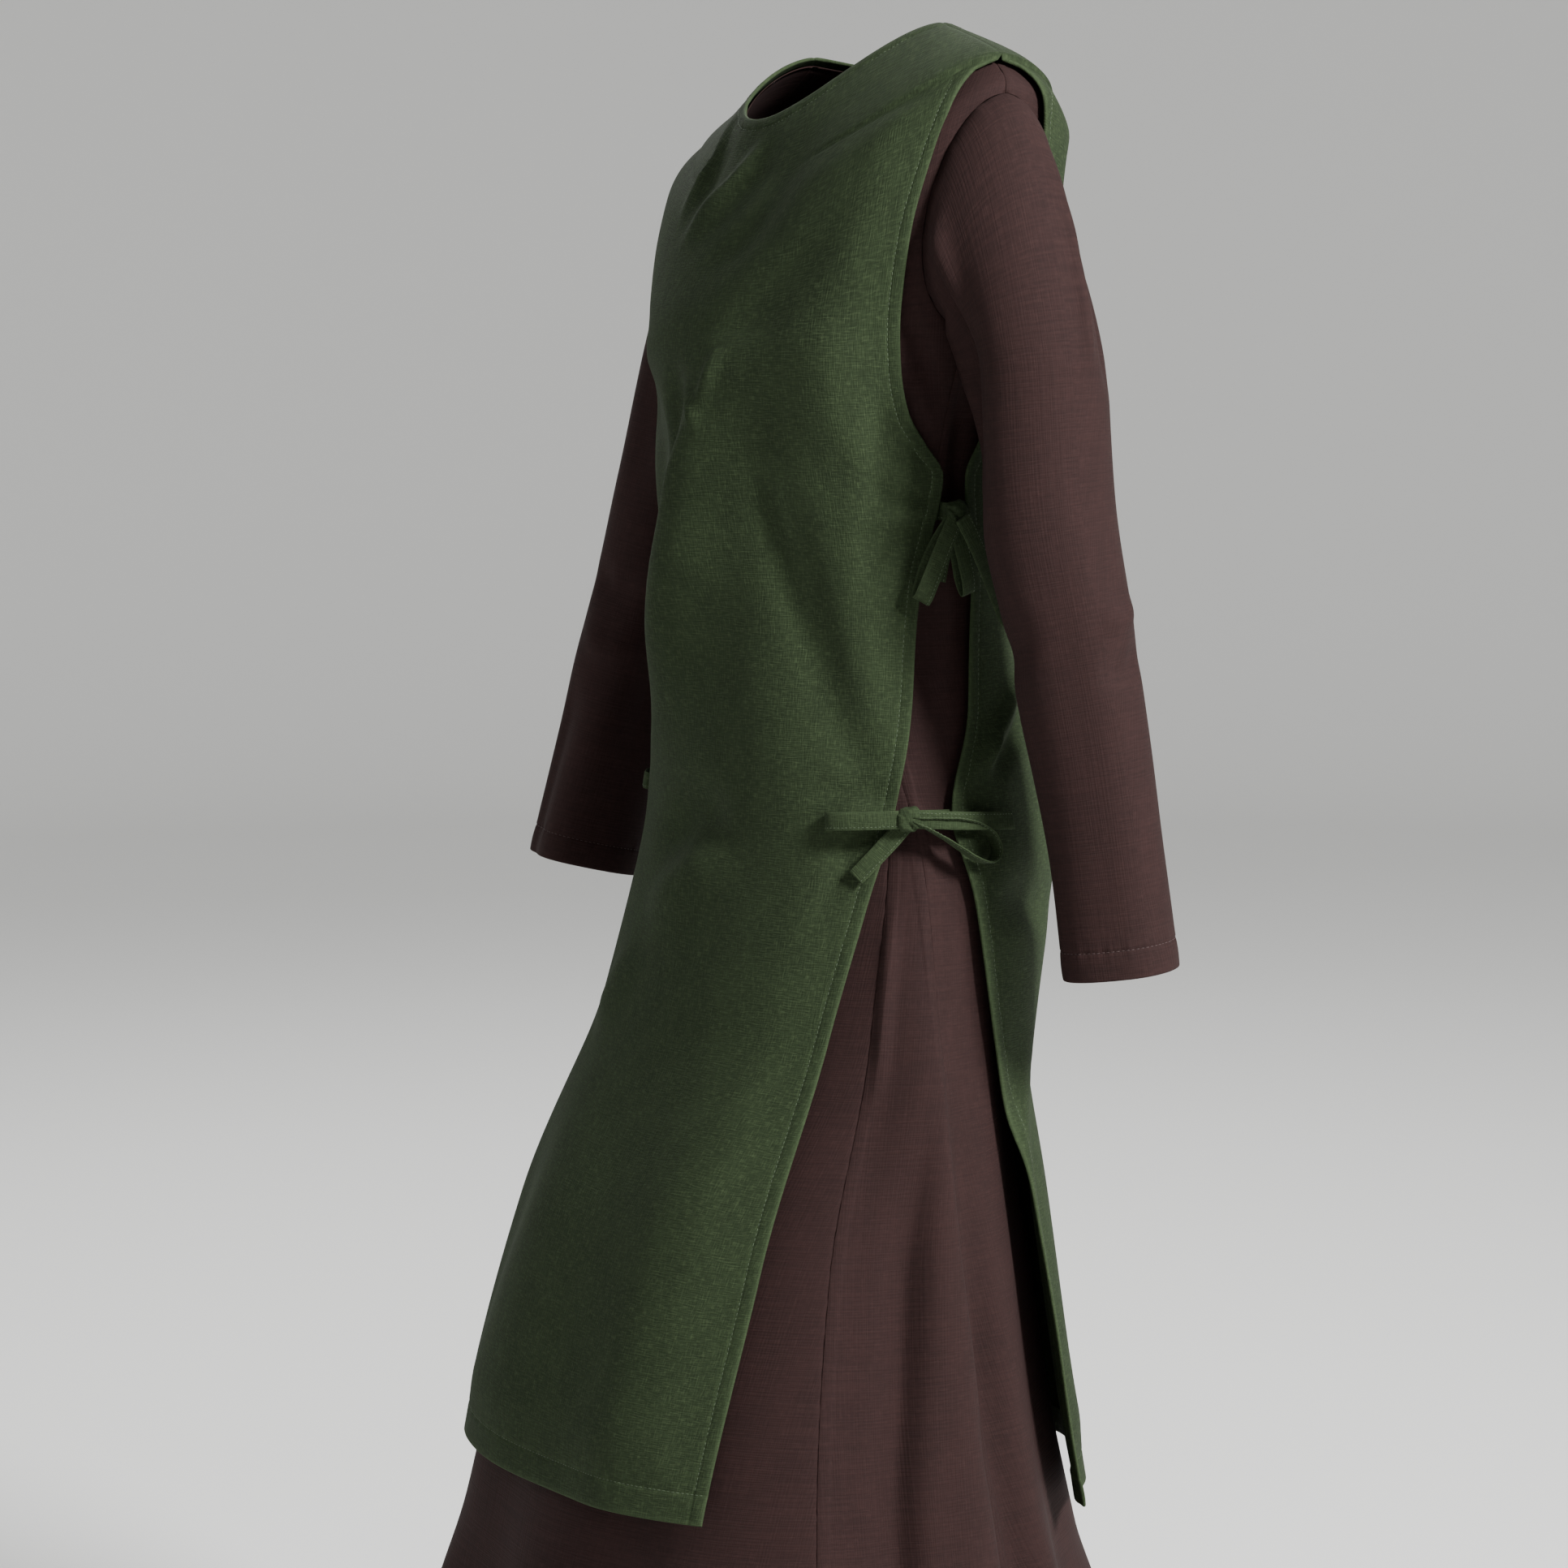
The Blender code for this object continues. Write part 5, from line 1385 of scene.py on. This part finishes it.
GOWN_CREASES = (
    Crease(((75.5, 8.9), (77.5, 9.5), (86.0, 10.22), (94.5, 10.9), (99.0, 11.6), (100.0, 12.3), (101.0, 14.0)),
           13.1, 36.0, 9.0, 0.2, 1.0),
    Crease(((82.0, 10.1), (83.2, 10.74), (82.5, 11.42), (80.5, 12.05), (79.0, 14.0)), -13.1, 20.0, 12.0, 0.0, 1.0),
    Crease(((103.0, 10.7), (107.0, 11.4), (110.0, 12.0), (114.0, 14.0)), -11.2, 10.0, 14.0, 0.0, 1.0),
    Crease(((116.0, 12.1), (119.0, 13.0), (121.0, 14.0)), 11.2, 20.0, 24.0, 0.0, 1.0),
    Crease(((66.5, 9.3), (67.5, 9.8), (68.5, 10.4)), 4.5, 5.0, 7.0),
    Crease(((97.0, 11.4), (103.0, 12.2), (106.0, 13.4)), -4.1, 4.0, 5.0),
    Crease(((50.0, 12.1), (52.0, 13.0), (53.0, 14.0)), 9.4, 28.0, 28.0, 0.0, 1.0),
    Crease(((14.0, 12.2), (14.0, 13.0), (13.0, 14.0)), 7.5, 30.0, 30.0, 0.0, 1.0),
    Crease(((-22.0, 12.2), (-24.0, 13.0), (-25.0, 14.0)), 9.4, 30.0, 30.0, 0.0, 1.0),
    Crease(((-55.0, 12.1), (-56.0, 13.0), (-57.0, 14.0)), 9.4, 28.0, 30.0, 0.0, 1.0),
    Crease(((-76.0, 8.9), (-82.0, 10.0), (-92.0, 11.3), (-95.0, 14.0)), 11.2, 12.0, 32.0, 0.2, 1.0),
    Crease(((-84.0, 10.4), (-83.0, 11.5), (-81.0, 14.0)), -9.4, 14.0, 18.0, 0.0, 1.0),
    Crease(((150.0, 12.3), (152.0, 13.0), (153.0, 14.0)), 9.4, 34.0, 34.0, 0.0, 1.0),
    Crease(((192.0, 12.3), (191.0, 13.0), (190.0, 14.0)), 9.4, 30.0, 34.0, 0.0, 1.0),
    Crease(((222.0, 12.3), (223.0, 13.0), (225.0, 14.0)), 8.5, 30.0, 30.0, 0.0, 1.0),
    Crease(((68.0, 4.9), (74.2, 5.12), (84.0, 5.6)), -5.6, 7.0, 8.0, 0.3),
    Crease(((72.0, 5.3), (79.0, 5.7), (82.0, 6.3)), 4.5, 8.0, 8.0),
    Crease(((92.0, 5.2), (95.0, 5.9), (96.0, 6.8)), -5.6, 10.0, 10.0),
    Crease(((85.0, 6.3), (84.0, 7.2), (80.0, 8.4)), -4.9, 9.0, 11.0),
    Crease(((-68.0, 4.9), (-75.0, 5.2), (-84.0, 5.7)), -5.6, 7.0, 8.0, 0.3),
    Crease(((-84.0, 6.2), (-84.0, 7.3), (-80.0, 8.4)), -4.5, 10.0, 10.0),
)
LEFT_SLEEVE_CREASES = (
    Crease(((158.0, -0.85), (146.0, -0.45), (140.0, 0.1), (148.0, 0.7)), 9.9, 9.0, 8.0),
    Crease(((104.0, -0.85), (116.0, -0.35), (128.0, 0.2), (138.0, 0.8)), -12.1, 13.0, 13.0),
    Crease(((76.0, -0.8), (96.0, -0.2), (112.0, 0.6), (120.0, 1.3)), -7.8, 18.0, 20.0),
    Crease(((90.0, -0.95), (98.0, -0.6), (108.0, -0.1)), 5.7, 10.0, 10.0),
    Crease(((318.0, -0.85), (328.0, -0.5), (334.0, -0.1)), -5.7, 5.0, 6.0),
    Crease(((326.0, -0.75), (338.0, -0.35), (344.0, 0.1)), 5.3, 5.0, 6.0),
    Crease(((300.0, -0.8), (306.0, -0.3), (310.0, 0.3)), -6.6, 10.0, 12.0),
    Crease(((60.0, 1.7), (105.0, 2.1), (150.0, 2.0)), -4.0, 14.0, 14.0),
    Crease(((290.0, 2.2), (335.0, 2.35), (375.0, 2.3)), -5.3, 10.0, 13.0),
    Crease(((300.0, 1.8), (335.0, 1.95), (365.0, 1.9)), 4.4, 10.0, 12.0),
    Crease(((36.0, 0.6), (42.0, 2.5), (46.0, 5.0)), -4.8, 22.0, 26.0, 0.0, 1.0),
    Crease(((118.0, 1.6), (124.0, 3.2), (118.0, 5.0)), 4.8, 20.0, 20.0, 0.0, 1.0),
    Crease(((250.0, 1.0), (245.0, 3.0), (250.0, 5.0)), -5.7, 18.0, 18.0, 0.0, 1.0),
    Crease(((196.0, 0.4), (205.0, 2.0), (200.0, 4.0)), 5.3, 18.0, 18.0),
)
RIGHT_SLEEVE_CREASES = (
    Crease(((156.0, -0.85), (145.0, -0.4), (142.0, 0.2), (150.0, 0.8)), 8.8, 9.0, 9.0),
    Crease(((106.0, -0.8), (118.0, -0.3), (130.0, 0.3), (140.0, 0.9)), -10.7, 13.0, 14.0),
    Crease(((80.0, -0.75), (94.0, -0.1), (108.0, 0.7), (116.0, 1.5)), -7.0, 18.0, 20.0),
    Crease(((322.0, -0.8), (330.0, -0.4), (336.0, 0.1)), -5.7, 6.0, 6.0),
    Crease(((70.0, 1.8), (112.0, 2.05), (158.0, 1.8)), -5.7, 12.0, 13.0),
    Crease(((84.0, 2.3), (124.0, 2.6), (164.0, 2.4)), 4.4, 10.0, 12.0),
    Crease(((290.0, 2.0), (330.0, 2.2), (372.0, 2.1)), -4.8, 11.0, 13.0),
    Crease(((100.0, 2.6), (92.0, 3.8), (88.0, 5.0)), -7.5, 16.0, 22.0, 0.0, 1.0),
    Crease(((134.0, 2.8), (130.0, 3.9), (128.0, 5.0)), 5.7, 18.0, 18.0, 0.0, 1.0),
    Crease(((40.0, 1.0), (38.0, 3.0), (44.0, 5.0)), -4.4, 22.0, 24.0, 0.0, 1.0),
    Crease(((180.0, 0.8), (186.0, 2.4), (182.0, 4.4)), -6.6, 18.0, 18.0),
)
LEFT_ARM = (
    ArmRing(0.209, 0.030, -0.235, 0.045, 0.049), ArmRing(0.217, 0.035, -0.325, 0.041, 0.047),
    ArmRing(0.228, 0.047, -0.408, 0.039, 0.043), ArmRing(0.238, 0.060, -0.490, 0.036, 0.039),
    ArmRing(0.246, 0.069, -0.562, 0.034, 0.037), ArmRing(0.252, 0.077, -0.638, 0.035, 0.038),
)
RIGHT_ARM = (
    ArmRing(-0.207, 0.000, -0.245, 0.045, 0.049), ArmRing(-0.216, -0.018, -0.327, 0.042, 0.046),
    ArmRing(-0.228, -0.034, -0.405, 0.040, 0.045), ArmRing(-0.238, -0.053, -0.482, 0.038, 0.045),
    ArmRing(-0.245, -0.069, -0.550, 0.037, 0.046), ArmRing(-0.250, -0.084, -0.613, 0.038, 0.047),
)


@dataclass(frozen=True)
class Lamp:
    """A square soft light that looks at a point of the garment."""

    name: str
    azimuth: float
    elevation: float
    distance: float
    size: float
    power: float
    colour: tuple[float, float, float] = (1.0, 1.0, 1.0)
    target: tuple[float, float, float] = (0.0, 0.0, -0.55)

    def build(self) -> None:
        """Place the light on its bearing from the target."""
        azimuth, elevation = math.radians(self.azimuth), math.radians(self.elevation)
        away = Vector((math.sin(azimuth) * math.cos(elevation), -math.cos(azimuth) * math.cos(elevation), math.sin(elevation)))
        light = bpy.data.lights.new(self.name, "AREA")
        light.shape = "DISK"
        light.size = self.size
        light.energy = self.power
        light.color = self.colour
        item = bpy.data.objects.new(self.name, light)
        item.location = Vector(self.target) + away * self.distance
        item.rotation_euler = (-away).to_track_quat("-Z", "Y").to_euler()
        bpy.context.scene.collection.objects.link(item)


@dataclass(frozen=True)
class Studio:
    """The pale floor that curves up all round, the soft lights and the camera."""

    floor_height: float = -1.42
    flat_radius: float = 6.5
    rim_radius: float = 9.5
    rim_height: float = 4.5
    colour: str = "#E8E8E6"
    world_strength: float = 0.50
    azimuth: float = 60.0
    distance: float = 2.70
    camera_height: float = -0.20
    pitch: float = 7.0
    focal_pixels: float = 4655.0
    axis_pixel: float = 1035.0
    frame_pixels: float = 1932.0
    sensor: float = 36.0

    def floor(self) -> None:
        """A round floor: flat in the middle, then its height follows a quarter ellipse up to the rim."""
        share = np.linspace(0.0, 1.0, 25)
        turn = np.linspace(0.0, 2.0 * np.pi, 96, endpoint=False)
        curve = share * 0.5 * np.pi
        radius = np.concatenate([[0.05, 1.5, 3.0, 4.5], self.flat_radius + (self.rim_radius - self.flat_radius) * np.sin(curve)])
        height = np.concatenate([np.zeros(4), (self.rim_height - self.floor_height) * (1.0 - np.cos(curve))]) + self.floor_height
        x = radius[:, None] * np.cos(turn)[None]
        y = radius[:, None] * np.sin(turn)[None]
        points = np.stack([x, y, np.broadcast_to(height[:, None], x.shape)], axis=-1).reshape(-1, 3)
        index = np.arange(len(points)).reshape(x.shape)
        index = np.concatenate([index, index[:, :1]], axis=1)
        mesh = bpy.data.meshes.new("floor")
        mesh.from_pydata(points.tolist(), [], quads(index)[:, ::-1].tolist() + [index[0, :-1].tolist()])
        mesh.shade_smooth()
        material = bpy.data.materials.new("painted_floor")
        material.use_nodes = True
        shader = material.node_tree.nodes["Principled BSDF"]
        shader.inputs["Base Color"].default_value = linear(self.colour)
        shader.inputs["Roughness"].default_value = 0.9
        mesh.materials.append(material)
        item = bpy.data.objects.new("floor", mesh)
        bpy.context.scene.collection.objects.link(item)

    def sky(self) -> None:
        """Even white light from above."""
        world = bpy.data.worlds.new("studio")
        world.use_nodes = True
        background = world.node_tree.nodes["Background"]
        background.inputs["Color"].default_value = (1.0, 1.0, 1.0, 1.0)
        background.inputs["Strength"].default_value = self.world_strength
        bpy.context.scene.world = world

    def camera(self) -> None:
        """The camera at the photograph's viewing angle."""
        azimuth, pitch = math.radians(self.azimuth), math.radians(self.pitch)
        data = bpy.data.cameras.new("camera")
        data.sensor_width = self.sensor
        data.lens = self.sensor * self.focal_pixels / self.frame_pixels
        data.shift_x = -(self.axis_pixel - 0.5 * self.frame_pixels) / self.frame_pixels
        item = bpy.data.objects.new("camera", data)
        item.location = (self.distance * math.sin(azimuth), -self.distance * math.cos(azimuth), self.camera_height)
        forward = Vector((-math.sin(azimuth) * math.cos(pitch), math.cos(azimuth) * math.cos(pitch), -math.sin(pitch)))
        item.rotation_euler = forward.to_track_quat("-Z", "Y").to_euler()
        bpy.context.scene.collection.objects.link(item)
        bpy.context.scene.camera = item

    def build(self) -> None:
        """Build the floor, the lights and the camera."""
        self.camera()
        self.floor()
        self.sky()
        Lamp("key_light", 108.0, 34.0, 3.4, 0.8, 300.0).build()
        Lamp("fill_light", -25.0, 40.0, 3.8, 1.2, 22.0).build()
        Lamp("rim_light", 250.0, 40.0, 3.6, 1.8, 70.0).build()


def main() -> None:
    """Build the studio, the gown, the overgown and the bows."""
    logging.basicConfig(level=logging.INFO)
    Studio().build()
    linen, cotton = LINEN.build(), COTTON.build()
    green_thread, brown_thread = GREEN_THREAD.build(), BROWN_THREAD.build()
    for panel in (
        GownPanel("gown_front", 0, False, False, GOWN_CREASES, (0.72, 1.38), 0.60, 0.3),
        GownPanel("gown_back", 0, False, True, GOWN_CREASES, (0.76, 1.40), 0.69, 1.1),
        GownPanel("gore_left", 1, True, False, GOWN_CREASES, (0.27, 0.90), 0.100, 1.9, columns=40),
        GownPanel("gore_right", -1, True, False, GOWN_CREASES, (0.27, 0.90), 0.100, 2.6, columns=40),
        Sleeve("sleeve_left", 1, LEFT_ARM, LEFT_SLEEVE_CREASES, 0.9),
        Sleeve("sleeve_right", -1, RIGHT_ARM, RIGHT_SLEEVE_CREASES, 2.2),
    ):
        for piece in panel.build(cotton, brown_thread):
            log.info("built %s", piece.name)
    for panel in (
        OverPanel("over_front", False, 12.0, FRONT_FOLDS, FRONT_CREASES, (0.43, 1.06), 0.38, 0.5),
        OverPanel("over_back", True, 12.16, BACK_FOLDS, BACK_CREASES, (0.46, 1.10), 0.43, 1.7),
        Bow("bow_upper_left", 1, 88.8, -0.328, UPPER_TAPES, 0.4),
        Bow("bow_upper_right", -1, 88.8, -0.328, UPPER_TAPES, 1.6),
        Bow("bow_lower_left", 1, 71.2, -0.538, LOWER_TAPES, 2.3),
        Bow("bow_lower_right", -1, 71.2, -0.538, LOWER_TAPES, 3.5),
    ):
        for piece in panel.build(linen, green_thread):
            log.info("built %s", piece.name)


if __name__ == "__main__":
    main()
